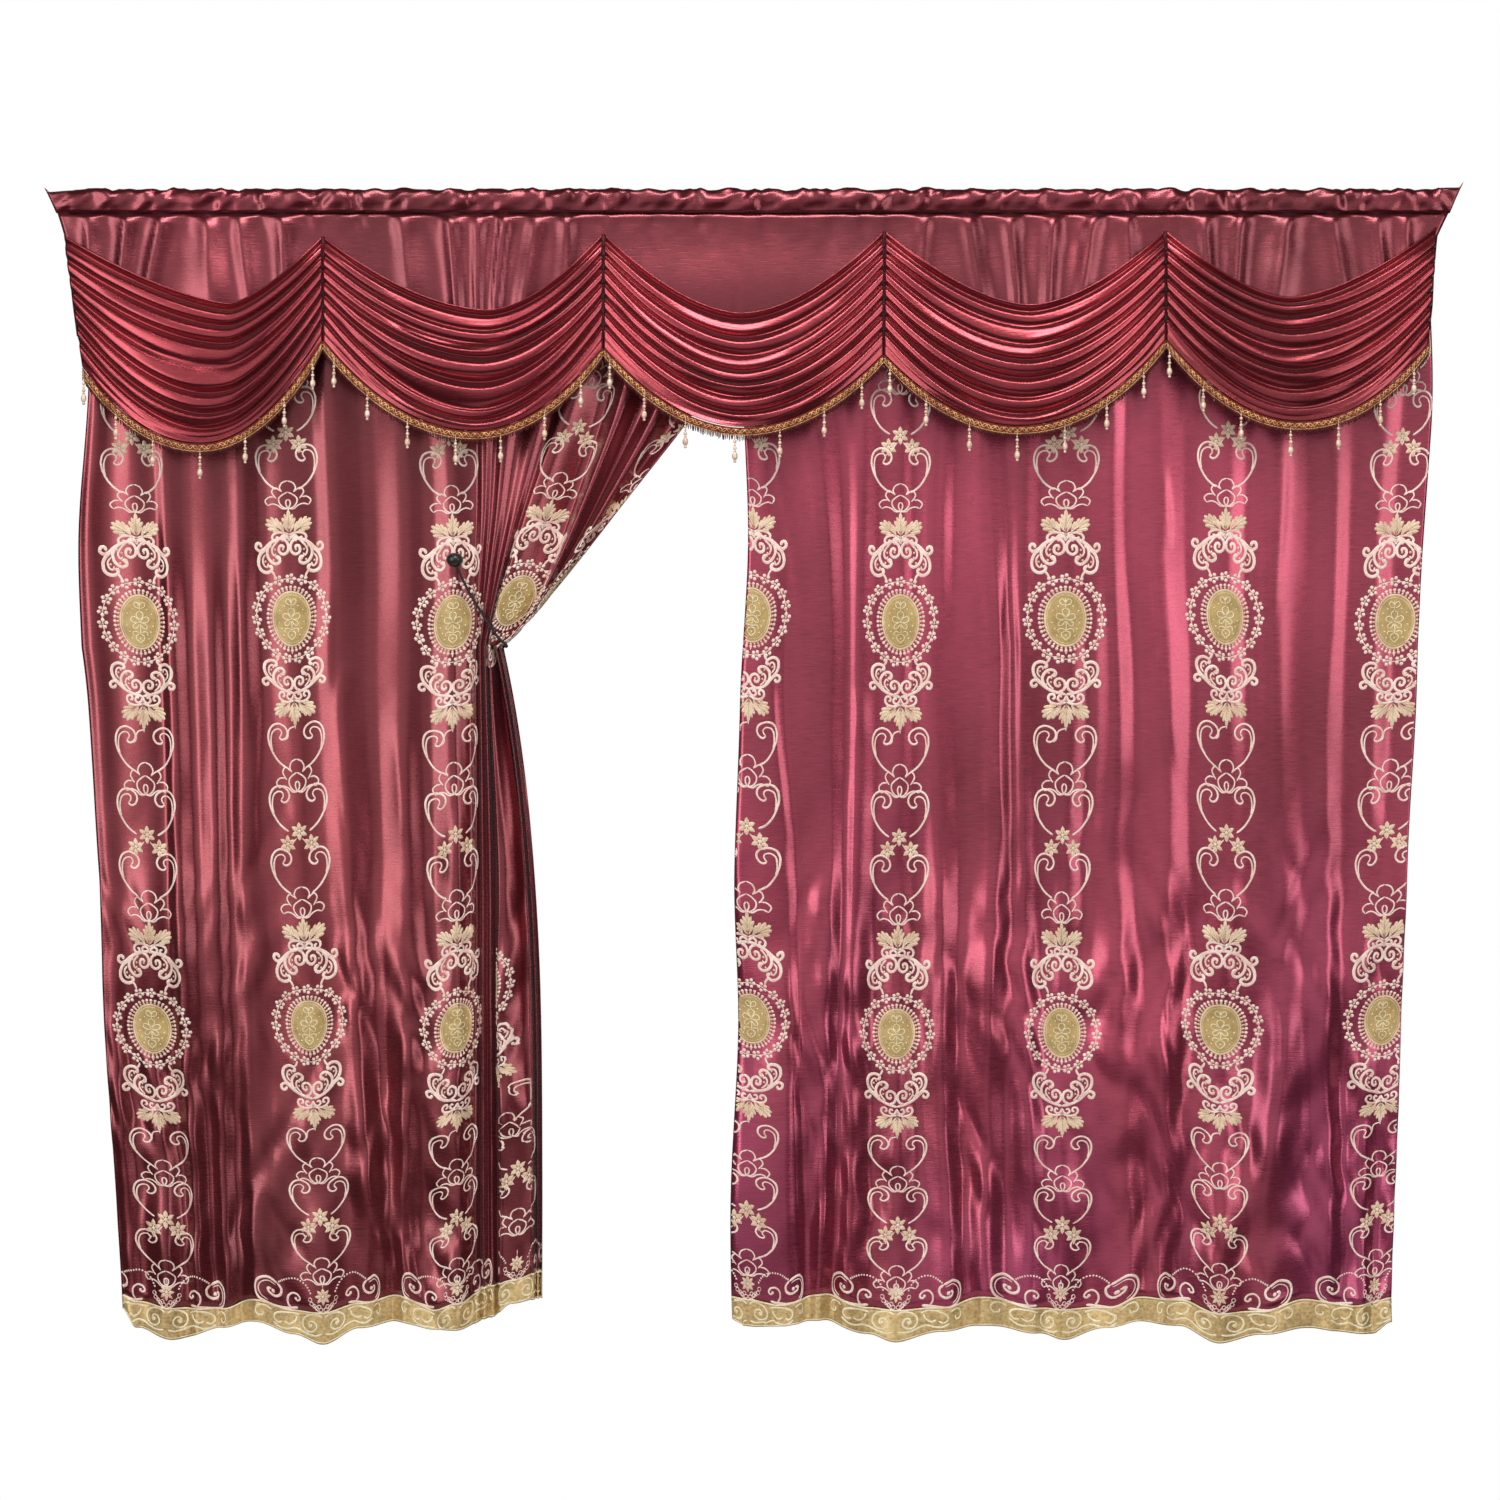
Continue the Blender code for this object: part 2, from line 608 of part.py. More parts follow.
def fold_point(fold, k, z, foot_z):
    """Where a panel's fold line k passes the level z."""
    seam, brow, tie, foot = (fold[name][k] for name in ("seam_x", "brow_x", "tie_x", "foot_x"))
    bow, settle = fold["bow"][k], fold["settle"][k]
    drawn = settle > DRAWN_SETTLE
    deep, foot_deep = (1.0, 1.0) if drawn else (HANGING_DEEP, HANGING_FOOT_DEEP)
    brow_y, tie_y, foot_y = fold["brow_y"][k] * deep, fold["tie_y"][k] * deep, fold["foot_y"][k] * foot_deep
    seam_y = PANEL_SEAM_Y + SEAM_FOLD * brow_y
    slope = bow * (brow - tie)
    if z > BROW_Z:
        part = (SEAM_Z - z) / (SEAM_Z - BROW_Z)
        reach = slope * (SEAM_Z - BROW_Z) / (TIE_Z - BROW_Z)
        x = seam + (brow - seam) * smooth(part) + reach * part * part * (part - 1.0)
        y = seam_y + (brow_y - seam_y) * smooth(part)
    elif z > TIE_Z:
        part = (z - TIE_Z) / (BROW_Z - TIE_Z)
        x = tie + (brow - tie) * part ** bow
        y = tie_y + (brow_y - tie_y) * smooth(part)
    else:
        part = (TIE_Z - z) / (TIE_Z - foot_z)
        x = tie + (foot - tie) * (1.0 - (1.0 - min(part, 1.0)) ** settle)
        y = tie_y + (foot_y - tie_y) * smooth(part)
    return np.array((x, y, z))


def panel_columns(folds, hem):
    """Each sampled column of a panel, as (fold line, part of the way to the next, hem levels)."""
    fold, edge = table(folds, FOLD_COLUMNS, PLAIN_COLUMNS), table(hem, HEM_COLUMNS)
    columns = [(0, 0.0)]
    for k in range(len(folds) - 1):
        columns.extend((k, part) for part in FOLD_SAMPLES)
    columns.append((len(folds) - 2, 1.0))
    found = []
    for k, part in columns:
        x = fold["foot_x"][k] * (1.0 - part) + fold["foot_x"][k + 1] * part
        top, foot = (eased(x, edge["x"], edge[name]) for name in ("top_z", "foot_z"))
        found.append((k, part, top, foot))
    return found


def column_point(fold, k, part, z, foot_z):
    """A point between two fold lines, easing from one's crest to the next one's."""
    a = fold_point(fold, k, z, foot_z)
    b = fold_point(fold, k + 1, z, foot_z)
    x = a[0] * (1.0 - part) + b[0] * part
    y = a[1] + (b[1] - a[1]) * smooth(part)
    return x, y, z


def make_panel(name, folds, hem, above, below, material):
    """One curtain panel from the heading's seam down to its gold border."""
    fold = table(folds, FOLD_COLUMNS, PLAIN_COLUMNS)
    columns = panel_columns(folds, hem)
    grid = []
    for share in above:
        z = SEAM_Z + (TIE_Z - SEAM_Z) * share
        grid.append([column_point(fold, k, part, z, top) for k, part, top, _ in columns])
    for share in below:
        row = []
        for k, part, top, _ in columns:
            row.append(column_point(fold, k, part, TIE_Z + (top - TIE_Z) * share, top))
        grid.append(row)
    return cloth_piece(name, grid, material)


def make_border(name, folds, hem, material):
    """The scalloped gold border that carries a panel's folds on to its hem."""
    fold = table(folds, FOLD_COLUMNS, PLAIN_COLUMNS)
    grid = [[], []]
    for k, part, top, foot in panel_columns(folds, hem):
        x, y, _ = column_point(fold, k, part, top, top)
        for row, z in zip(grid, (top - HEM_GAP, foot)):
            row.append((x, y, z))
    return cloth_piece(name, grid, material)


def make_knob(material):
    """The oval knob of the tie: a dome with a flat back against the cloth."""
    bm = bmesh.new()
    turns = 14
    outline = ((0.0, 0.80), (0.15, 0.97), (0.40, 1.0), (0.70, 0.82), (0.90, 0.48))
    loops = []
    for deep, size in outline:
        loop = []
        for i in range(turns):
            angle = 2.0 * math.pi * i / turns
            x = KNOB_AT[0] + math.cos(angle) * size * KNOB_WIDE / 2
            z = KNOB_AT[1] + math.sin(angle) * size * KNOB_TALL / 2
            loop.append(bm.verts.new((x, KNOB_BACK_Y - deep * KNOB_DEEP, z)))
        loops.append(loop)
    for back, front in zip(loops, loops[1:]):
        for i in range(turns):
            j = (i + 1) % turns
            bm.faces.new((back[i], back[j], front[j], front[i]))
    bm.faces.new(loops[0])
    tip = bm.verts.new((KNOB_AT[0], KNOB_BACK_Y - KNOB_DEEP, KNOB_AT[1]))
    for i in range(turns):
        bm.faces.new((loops[-1][i], loops[-1][(i + 1) % turns], tip))
    bmesh.ops.recalc_face_normals(bm, faces=bm.faces)
    mesh = bpy.data.meshes.new("tieback_knob")
    bm.to_mesh(mesh)
    bm.free()
    mesh.shade_smooth()
    return keep("tieback_knob", mesh, material)


def make_cord(material):
    """The tie's cord, from under the knob round the bunch to a knot behind the cloth."""
    curve = bpy.data.curves.new("tieback_cord", "CURVE")
    curve.dimensions = "3D"
    curve.bevel_depth = CORD_RADIUS
    curve.bevel_resolution = 2
    curve.use_fill_caps = True
    line = curve.splines.new("POLY")
    line.points.add(len(CORD_ROUTE) - 1)
    for point, (x, y, z, thickness) in zip(line.points, CORD_ROUTE):
        point.co = (x * MM, y * MM, z * MM, 1.0)
        point.radius = thickness
    curve.materials.append(material)
    piece = bpy.data.objects.new("tieback_cord", curve)
    bpy.context.scene.collection.objects.link(piece)
    return piece


def main():
    clear_objects()
    valance_cloth = finish("valance_satin", SATIN_VALANCE, 0.34)
    swag_cloth = finish("swag_satin", SATIN_SWAG, 0.32)
    left_cloth = finish("left_satin", SATIN_LEFT, 0.34)
    right_cloth = finish("right_satin", SATIN_RIGHT, 0.34)
    gold = finish("border_gold", BORDER_GOLD, 0.42)
    braid = finish("trim_braid", BRAID_RUST, 0.50)
    dark = finish("tie_dark", TIE_DARK, 0.45)
    make_heading(valance_cloth)
    make_base(valance_cloth)
    for number in range(len(SWAGS)):
        make_swag(number, swag_cloth)
        make_trim(number, braid)
    make_panel("left_panel", LEFT_FOLDS, LEFT_HEM, ROWS_ABOVE_TIE, ROWS_BELOW_TIE, left_cloth)
    make_panel("right_panel", RIGHT_FOLDS, RIGHT_HEM, RIGHT_ROWS_ABOVE, RIGHT_ROWS_BELOW, right_cloth)
    make_border("left_border", LEFT_FOLDS, LEFT_HEM, gold)
    make_border("right_border", RIGHT_FOLDS, RIGHT_HEM, gold)
    make_knob(dark)
    make_cord(dark)


main()
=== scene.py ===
# %% [markdown]
# # A pair of satin curtains under a valance of five swags
#
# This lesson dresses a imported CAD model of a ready-made curtain set. The CAD model gives every
# piece its true place and size. Here each piece is made again with its folds, stitches and
# satin, in the same frame: metres, +Z up, the front facing -Y, and the origin at the middle of
# the heading's top edge.

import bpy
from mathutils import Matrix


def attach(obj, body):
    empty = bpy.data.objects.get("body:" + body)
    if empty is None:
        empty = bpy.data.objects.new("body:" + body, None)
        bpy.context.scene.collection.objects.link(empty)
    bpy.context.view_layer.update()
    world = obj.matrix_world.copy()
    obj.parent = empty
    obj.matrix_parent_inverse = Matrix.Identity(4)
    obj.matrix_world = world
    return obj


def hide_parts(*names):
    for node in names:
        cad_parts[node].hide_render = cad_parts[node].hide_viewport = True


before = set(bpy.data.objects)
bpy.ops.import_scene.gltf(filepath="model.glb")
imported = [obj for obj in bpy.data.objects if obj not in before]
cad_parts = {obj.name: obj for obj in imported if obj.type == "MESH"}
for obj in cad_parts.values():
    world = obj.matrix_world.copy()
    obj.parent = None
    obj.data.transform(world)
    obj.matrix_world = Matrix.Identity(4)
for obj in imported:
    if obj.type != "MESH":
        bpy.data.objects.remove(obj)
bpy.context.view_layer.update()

# %% [markdown]
# ## The camera
#
# The curtains are looked at square on, from the middle of their height. A long lens from far
# away keeps the upright folds upright. The sensor is as wide as the picture, so the lens
# follows from how much of the curtain's plane the picture takes in.

# %% Camera
import math

import bpy
import numpy as np

MM = 0.001
PICTURE_WIDE = 3.0
CAMERA_FAR = 8.0
CAMERA_X = -0.010
CAMERA_Z = -1.124
SENSOR_MM = 36.0

camera_data = bpy.data.cameras.new("camera")
camera_data.sensor_width = SENSOR_MM
camera_data.lens = SENSOR_MM * CAMERA_FAR / PICTURE_WIDE
camera = bpy.data.objects.new("camera", camera_data)
camera.location = (CAMERA_X, -CAMERA_FAR, CAMERA_Z)
camera.rotation_euler = (math.radians(90), 0.0, 0.0)
bpy.context.scene.collection.objects.link(camera)
bpy.context.scene.camera = camera
print("camera: lens", round(camera_data.lens), "mm")

# %% [markdown]
# ## Shader maths that reads like sums
#
# A material is a graph of nodes. Wiring it by hand hides the idea, so one small class stands
# for whatever flows out of a socket. Adding or multiplying two of them adds a Math node. Colours
# and vectors must not go through Math nodes, which would turn them grey, so they use the general
# `node` method with a Mix or a Vector Math node.

# %% A class for what flows between nodes
COLOUR_A, COLOUR_B, COLOUR_OUT = 6, 7, 2


class Flow:
    """A value that leaves one node's socket, ready to be used in a sum."""

    def __init__(self, look, socket):
        self.look = look
        self.socket = socket

    def maths(self, operation, first, second):
        return self.look.node("ShaderNodeMath", {"operation": operation}, {0: first, 1: second})

    def __add__(self, other):
        return self.maths("ADD", self, other)

    def __sub__(self, other):
        return self.maths("SUBTRACT", self, other)

    def __rsub__(self, other):
        return self.maths("SUBTRACT", other, self)

    def __mul__(self, other):
        return self.maths("MULTIPLY", self, other)


class Look:
    """A node tree that is written one call at a time."""

    def __init__(self, tree):
        self.tree = tree

    def node(self, kind, settings=None, inputs=None, output=0):
        """Add a node: its settings are set first, then its sockets take numbers or flows."""
        made = self.tree.nodes.new(kind)
        for name, value in (settings or {}).items():
            setattr(made, name, value)
        for name, value in (inputs or {}).items():
            self.feed(made.inputs[name], value)
        return Flow(self, made.outputs[output])

    def feed(self, socket, value):
        if isinstance(value, Flow):
            self.tree.links.new(value.socket, socket)
        else:
            socket.default_value = value

    def mixed(self, share, first, second):
        """Blend two colours, by a share from 0 to 1."""
        return self.node(
            "ShaderNodeMix",
            {"data_type": "RGBA"},
            {0: share, COLOUR_A: first, COLOUR_B: second},
            output=COLOUR_OUT,
        )

    def place(self, x=1.0, y=1.0, z=1.0):
        """Where a point of the piece is, in metres, with each axis counted that many times."""
        spot = self.node("ShaderNodeTexCoord", output="Object")
        times = {"operation": "MULTIPLY"}
        return self.node("ShaderNodeVectorMath", times, {0: spot, 1: (x, y, z)})

    def noise(self, x, y, z, detail=2.0):
        """Soft unevenness from 0 to 1, with about so many spots to the metre along each axis."""
        inputs = {"Vector": self.place(x, y, z), "Scale": 1.0, "Detail": detail}
        return self.node("ShaderNodeTexNoise", None, inputs)

    def stretched(self, value, low, high):
        """Stretch the part of a value from low to high over 0 to 1, and clamp the rest."""
        inputs = {"Value": value, "From Min": low, "From Max": high}
        return self.node("ShaderNodeMapRange", {"clamp": True}, inputs)

    def paint(self, colour, rough, bump=None, plain=None):
        """Feed the Principled shader; bump is its strength, its depth in metres and its height."""
        shader = self.tree.nodes["Principled BSDF"]
        if bump is not None:
            inputs = dict(zip(("Strength", "Distance", "Height"), bump))
            self.feed(shader.inputs["Normal"], self.node("ShaderNodeBump", None, inputs))
        for name, value in {"Base Color": colour, "Roughness": rough, **(plain or {})}.items():
            self.feed(shader.inputs[name], value)


def new_look(name):
    """An empty Principled material and the look that writes its nodes."""
    material = bpy.data.materials.new(name)
    material.use_nodes = True
    return material, Look(material.node_tree)


def screen(red, green, blue):
    """A colour as a screen shows it, as the light values of a shader, by the sRGB curve."""
    low = [c / 12.92 for c in (red, green, blue)]
    high = [((c + 0.055) / 1.055) ** 2.4 for c in (red, green, blue)]
    return (*(a if c <= 0.04045 else b for a, b, c in zip(low, high, (red, green, blue))), 1.0)


print("shader maths: ready")

# %% [markdown]
# ## Studio
#
# The set is seen against white. Satin shows its folds only by what it mirrors. So tall soft
# panels stand at the sides, one hangs above, and the world has a soft patch of light straight in
# front of the cloth and another behind it. Cloth that faces a patch is wine red. Where a fold
# turns aside it mirrors the dark between patch and panel, and then a panel, as a bright streak.
# The camera itself sees the world as plain white.

# %% Light, floor and colour
SEEN_LIGHT = 1.0
PATCH_LIGHT = 0.96
DARK_LIGHT = 0.03
PATCH_WAY = (-0.14, -0.965, 0.22)
PATCH_EDGE = (0.79, 0.985)
FLOOR_Z = -3.0
FLOOR_RADIUS = 1.9
FLOOR_SIDES = 96
FLOOR_SPOTS = (3.0, 3.0, 3.0)
FLOOR_ROUGH = 0.9
LIGHT_COLUMNS = ("name", "x", "y", "z", "wide", "tall", "watts")
LIGHTS = (
    ("left_panel_light", -4.0, -4.2, 0.1, 1.9, 4.6, 138),
    ("right_panel_light", 4.0, -4.1, 0.0, 1.8, 4.4, 100),
    ("overhead_light", 0.2, -3.0, 2.8, 2.4, 0.7, 112),
)
LIGHT_AIM = (0.0, 0.0, -1.1)

scene = bpy.context.scene
scene.view_settings.view_transform = "Standard"
world = bpy.data.worlds.new("studio")
scene.world = world
world.use_nodes = True
air = Look(world.node_tree)
seen = air.node("ShaderNodeLightPath", output="Is Camera Ray")
ways = {0: air.node("ShaderNodeTexCoord", output="Generated"), 1: PATCH_WAY}
facing = air.node("ShaderNodeVectorMath", {"operation": "DOT_PRODUCT"}, ways, output="Value")
facing = air.node("ShaderNodeMath", {"operation": "ABSOLUTE"}, {0: facing})
fill = air.stretched(facing, *PATCH_EDGE) * (PATCH_LIGHT - DARK_LIGHT) + DARK_LIGHT
strength = seen * SEEN_LIGHT + (1.0 - seen) * fill
backing = world.node_tree.nodes["Background"]
backing.inputs["Color"].default_value = (1.0, 1.0, 1.0, 1.0)
air.feed(backing.inputs["Strength"], strength)

for row in LIGHTS:
    light = dict(zip(LIGHT_COLUMNS, row))
    lamp = bpy.data.lights.new(light["name"], "AREA")
    lamp.shape = "RECTANGLE"
    lamp.size = light["wide"]
    lamp.size_y = light["tall"]
    lamp.energy = light["watts"]
    holder = bpy.data.objects.new(light["name"], lamp)
    holder.location = (light["x"], light["y"], light["z"])
    aim = [a - b for a, b in zip(LIGHT_AIM, holder.location)]
    tipped = math.atan2(math.hypot(aim[0], aim[1]), -aim[2])
    holder.rotation_euler = (tipped, 0.0, math.atan2(aim[1], aim[0]) - math.pi / 2)
    scene.collection.objects.link(holder)

bpy.ops.mesh.primitive_circle_add(
    vertices=FLOOR_SIDES, radius=FLOOR_RADIUS, fill_type="NGON", location=(0, 0, FLOOR_Z)
)
floor = bpy.context.object
floor.name = "floor"
floor_material, pale = new_look("pale_floor")
mottle = pale.noise(*FLOOR_SPOTS)
pale.paint(pale.mixed(mottle, screen(0.97, 0.97, 0.97), screen(0.99, 0.99, 0.99)), FLOOR_ROUGH)
floor.data.materials.append(floor_material)
print("studio:", len(LIGHTS), "soft lights and a floor at", FLOOR_Z)

# %% [markdown]
# ## Tables and easing
#
# The CAD source lays every fold out in short tables with named columns, in millimetres. The same
# tables are used here, sampled much more finely, so the dressed cloth lies where its solid lies.
# Between two rows of a table the cloth eases, level at each row, as satin rolls from one fold
# into the next.

# %% Helpers for tables
KNOTS_ACROSS, KNOTS_DOWN = 97, 89
FIRST_KNOT = (40.0, 30.0)
CREASE_ROUND = 0.03
TINY = 1e-12


def smooth(part):
    """Ease from 0 to 1, level at both ends."""
    part = np.clip(part, 0.0, 1.0)
    return part * part * (3.0 - 2.0 * part)


def eased(x, knots, values):
    """Read a table between its rows, level at every row."""
    place = np.clip(np.searchsorted(knots, x, side="right") - 1, 0, len(knots) - 2)
    part = smooth((x - knots[place]) / (knots[place + 1] - knots[place]))
    return values[place] * (1.0 - part) + values[place + 1] * part


def table(rows, columns, plain=()):
    """A table as one array for each named column, in metres but for the plain ones."""
    scale = {name: 1.0 if name in plain else MM for name in columns}
    return {name: np.array([row[i] for row in rows]) * scale[name] for i, name in enumerate(columns)}


def rumple(across, down, wide, tall, seed):
    """Smooth unevenness from -1 to 1 over the cloth, with a knot every wide by tall metres."""
    knots = np.random.default_rng(seed).uniform(-1.0, 1.0, (KNOTS_ACROSS, KNOTS_DOWN))
    column, row = across / wide + FIRST_KNOT[0], down / tall + FIRST_KNOT[1]
    i, j = np.floor(column).astype(int), np.floor(row).astype(int)
    a, b = smooth(column - i), smooth(row - j)
    corner = [
        [knots[(i + p) % KNOTS_ACROSS, (j + q) % KNOTS_DOWN] for q in (0, 1)] for p in (0, 1)
    ]
    upper = corner[0][0] * (1.0 - a) + corner[1][0] * a
    lower = corner[0][1] * (1.0 - a) + corner[1][1] * a
    return upper * (1.0 - b) + lower * b


def crumple(across, down, wide, tall, seed):
    """Unevenness with soft faces between sharper creases, from about -0.6 to 1."""
    return np.sqrt(rumple(across, down, wide, tall, seed) ** 2 + CREASE_ROUND) * 2.0 - 0.8


def curve_through(points, count):
    """A smooth line of count points through a few given ones, whatever their dimension."""
    points = np.array(points, float)
    ends = np.vstack([2 * points[0] - points[1], points, 2 * points[-1] - points[-2]])
    at = np.linspace(0.0, len(points) - 1.0, count)
    k = np.minimum(at.astype(int), len(points) - 2)
    t = (at - k)[:, None]
    p0, p1, p2, p3 = (ends[k + i] for i in range(4))
    bend = (2 * p0 - 5 * p1 + 4 * p2 - p3) * t * t + (3 * p1 - p0 - 3 * p2 + p3) * t ** 3
    return 0.5 * (2 * p1 + (p2 - p0) * t + bend)


def unit(ways):
    """The same directions, each of length one."""
    return ways / np.maximum(np.linalg.norm(ways, axis=-1), TINY)[..., None]


def lengths(line):
    """How far along a line each of its points is."""
    steps = np.linalg.norm(np.diff(line, axis=-2), axis=-1)
    start = np.zeros(steps.shape[:-1] + (1,))
    return np.concatenate([start, np.cumsum(steps, axis=-1)], axis=-1)


print("tables: ready")

# %% [markdown]
# ## From a grid of points to sewn cloth
#
# Cloth is a grid of points in the middle of a thin sheet. A Solidify modifier gives it the
# thickness of satin, so that it has two faces and real edges. A mesh made in code keeps the
# folds exactly where the tables put them, which a cloth simulation would not.

# %% Cloth and its declaration
SATIN_THICK = 0.9 * MM


def mesh_piece(name, points, faces, materials, face_materials=None):
    """A mesh object with smooth faces."""
    mesh = bpy.data.meshes.new(name)
    mesh.from_pydata(np.asarray(points, float).tolist(), [], faces)
    for material in materials:
        mesh.materials.append(material)
    if face_materials is not None:
        mesh.polygons.foreach_set("material_index", np.asarray(face_materials, np.int32))
    mesh.shade_smooth()
    mesh.update()
    piece = bpy.data.objects.new(name, mesh)
    bpy.context.scene.collection.objects.link(piece)
    return piece


def grid_faces(rows, columns, ring=False):
    """The four-sided faces between the points of a grid, row after row."""
    steps = columns if ring else columns - 1
    i, j = np.meshgrid(np.arange(rows - 1), np.arange(steps), indexing="ij")
    k = (j + 1) % columns
    upper, lower = i * columns, (i + 1) * columns
    return np.stack([upper + j, lower + j, lower + k, upper + k], -1).reshape(-1, 4)


def thicken(piece, thick=SATIN_THICK):
    """Give a sheet of middle faces the two sides and the edges of real cloth."""
    shell = piece.modifiers.new("thickness", "SOLIDIFY")
    shell.thickness = thick
    shell.offset = 0.0


def cloth(name, grid, material, thick=SATIN_THICK):
    """A grid of points as a thin sewn sheet."""
    faces = grid_faces(*grid.shape[:2]).tolist()
    piece = mesh_piece(name, grid.reshape(-1, 3), faces, [material])
    thicken(piece, thick)
    return piece


def flat_size(grid):
    """The width and length of the flat cut that a grid of cloth was gathered from."""
    across = lengths(grid)[:, -1].mean()
    down = lengths(np.swapaxes(grid, 0, 1))[:, -1].mean()
    return round(float(across), 3), round(float(down), 3)


def triangles(piece):
    """How many triangles a piece shows."""
    seen_mesh = piece.evaluated_get(bpy.context.evaluated_depsgraph_get()).data
    return sum(len(face.vertices) - 2 for face in seen_mesh.polygons)


def settle(piece, slot, *nodes):
    """Let a piece ride on the body and stand for its CAD nodes; slot is not used."""
    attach(piece, "root")
    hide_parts(*nodes)
    print(piece.name, "has", triangles(piece), "triangles")


print("cloth:", SATIN_THICK / MM, "mm thick")

# %% [markdown]
# ## Satin
#
# Satin is woven with long floating threads, which lie side by side like brushed metal. So the
# material is partly metallic, in a red that its own highlights keep, with a roughness that
# varies thread by thread. Two unevennesses make it cloth: slubs, which are fine streaks across
# the piece, and slow drifts of the dye. A thin soft coat lies over both, as the sheen of pressed
# satin. Low down, the right curtain's dye also carries a painted reflection: purple patches that
# stand in for the purplish sheen its satin shows there.

# %% Satin materials
SLUB_SPOTS = (34.0, 34.0, 460.0)
FLOAT_SPOTS = (1500.0, 1500.0, 160.0)
DRIFT_SPOTS = (2.2, 2.2, 1.1)
PURPLE_REFLECTION_SPOTS = (3.0, 3.0, 0.8)
PURPLE_REFLECTION_HEIGHTS = (-1.1, -2.1)
PURPLE_REFLECTION_SHARE = 0.65
SATIN_GLOSS = {"Sheen Weight": 0.12, "Sheen Roughness": 0.4, "Coat Weight": 0.5, "Coat Roughness": 0.25}


def satin(name, deep, bright, purple_reflection=None, shine=0.28, metal=0.75):
    """Satin between two dye colours, and a third colour of painted purple reflection in patches low down."""
    material, look = new_look(name)
    slub = look.noise(*SLUB_SPOTS, 4.0)
    floats = look.noise(*FLOAT_SPOTS, 1.0)
    drift = look.noise(*DRIFT_SPOTS, 3.0)
    dye = look.mixed(look.stretched(drift * 0.7 + slub * 0.3, 0.32, 0.68), deep, bright)
    # painted reflection: a purple tint mixed into the dye in patches low down, for the purplish sheen there
    if purple_reflection is not None:
        height = look.node("ShaderNodeSeparateXYZ", None, {0: look.place()}, output="Z")
        low = look.stretched(height, *PURPLE_REFLECTION_HEIGHTS)
        patches = look.stretched(look.noise(*PURPLE_REFLECTION_SPOTS), 0.42, 0.62)
        dye = look.mixed(low * patches * PURPLE_REFLECTION_SHARE, dye, purple_reflection)
    rough = slub * 0.10 + floats * 0.06 + (shine - 0.08)
    weave = (0.5, 0.7 * MM, slub * 0.75 + floats * 0.25)
    look.paint(dye, rough, weave, {"Metallic": metal, **SATIN_GLOSS})
    return material


left_satin = satin("left_satin", screen(0.40, 0.105, 0.140), screen(0.56, 0.205, 0.240))
# the right curtain's third colour is a painted purple reflection, low down
right_satin = satin(
    "right_satin", screen(0.45, 0.118, 0.175), screen(0.73, 0.272, 0.380), screen(0.62, 0.215, 0.38)
)
valance_satin = satin("valance_satin", screen(0.36, 0.070, 0.110), screen(0.49, 0.145, 0.195))
swag_satin = satin(
    "swag_satin", screen(0.42, 0.08, 0.115), screen(0.60, 0.175, 0.22), shine=0.25, metal=0.80
)
print("satins: four")

# %% [markdown]
# ## The heading
#
# The heading is a flattened tube of satin that the rod is pushed through. It is gathered along
# the rod, so its front is full of small crossing puckers, and the cloth at each end is pulled
# out into a point. It is made as rings around the tube, one for every few millimetres of its
# length, and each ring is swollen by the gathers. The points are two corner patches that grow
# from the front of the first and last ring.

# %% Heading
CLOTH = 1.6 * MM
GAP = 0.3 * MM
POCKET_LEFT = -1360 * MM
POCKET_RIGHT = 1366 * MM
POCKET_DEEP = 50 * MM
SEAM_Z = -POCKET_DEEP - GAP
BASE_SEAM_Y = -8.0 * MM
PANEL_SEAM_Y = 3.0 * MM
# y and z round the tube: up its front, over the top, down its back and forward under it
HEADING_RING = (
    (-12.5, -51.6),
    (-14.5, -38.0),
    (-16.0, -26.0),
    (-14.5, -13.0),
    (-9.0, -4.0),
    (0.0, -2.6),
    (9.0, -4.0),
    (14.5, -13.0),
    (16.0, -26.0),
    (14.5, -38.0),
    (9.0, -49.2),
    (0.0, -49.0),
    (-10.2, -50.4),
)
HEADING_STATIONS = 400
HEADING_AROUND = 26
# x at the top, the middle and the seam, and z of the tip
LEFT_EAR = (-1420, -1407, -1396, 0.0)
RIGHT_EAR = (1416, 1401, 1388, 12.0)
EAR_TOP_Y = -11.0 * MM
EAR_MIDDLE_Y = -13.0 * MM
EAR_STEPS = 9
EAR_FOLD = 2.6 * MM
FRONT_Y = -8.9 * MM
SWELL = 0.10
TOP_WAVE = 3.0 * MM
TOP_RUMPLE = 2.0 * MM
# height, waves to the metre and start
GATHERS = ((0.5, 61.0, 0.0), (0.3, 97.0, 1.7), (0.2, 23.0, 0.6))
# lean, width and length of a pucker, seed, and height in millimetres
PUCKERS = ((0.3, 0.018, 0.060, 11, 5.0), (-0.9, 0.016, 0.018, 12, 3.2))


def gathers(x):
    """Uneven little gathers along the rod, from -1 to 1."""
    return sum(high * np.sin(x * waves + start) for high, waves, start in GATHERS)


def pucker(x, z):
    """Small crossing puckers of gathered cloth, in metres, for a place on the heading's front."""
    rows = (rumple(x + lean * z, z, wide, tall, seed) * high for lean, wide, tall, seed, high in PUCKERS)
    return sum(rows) * MM


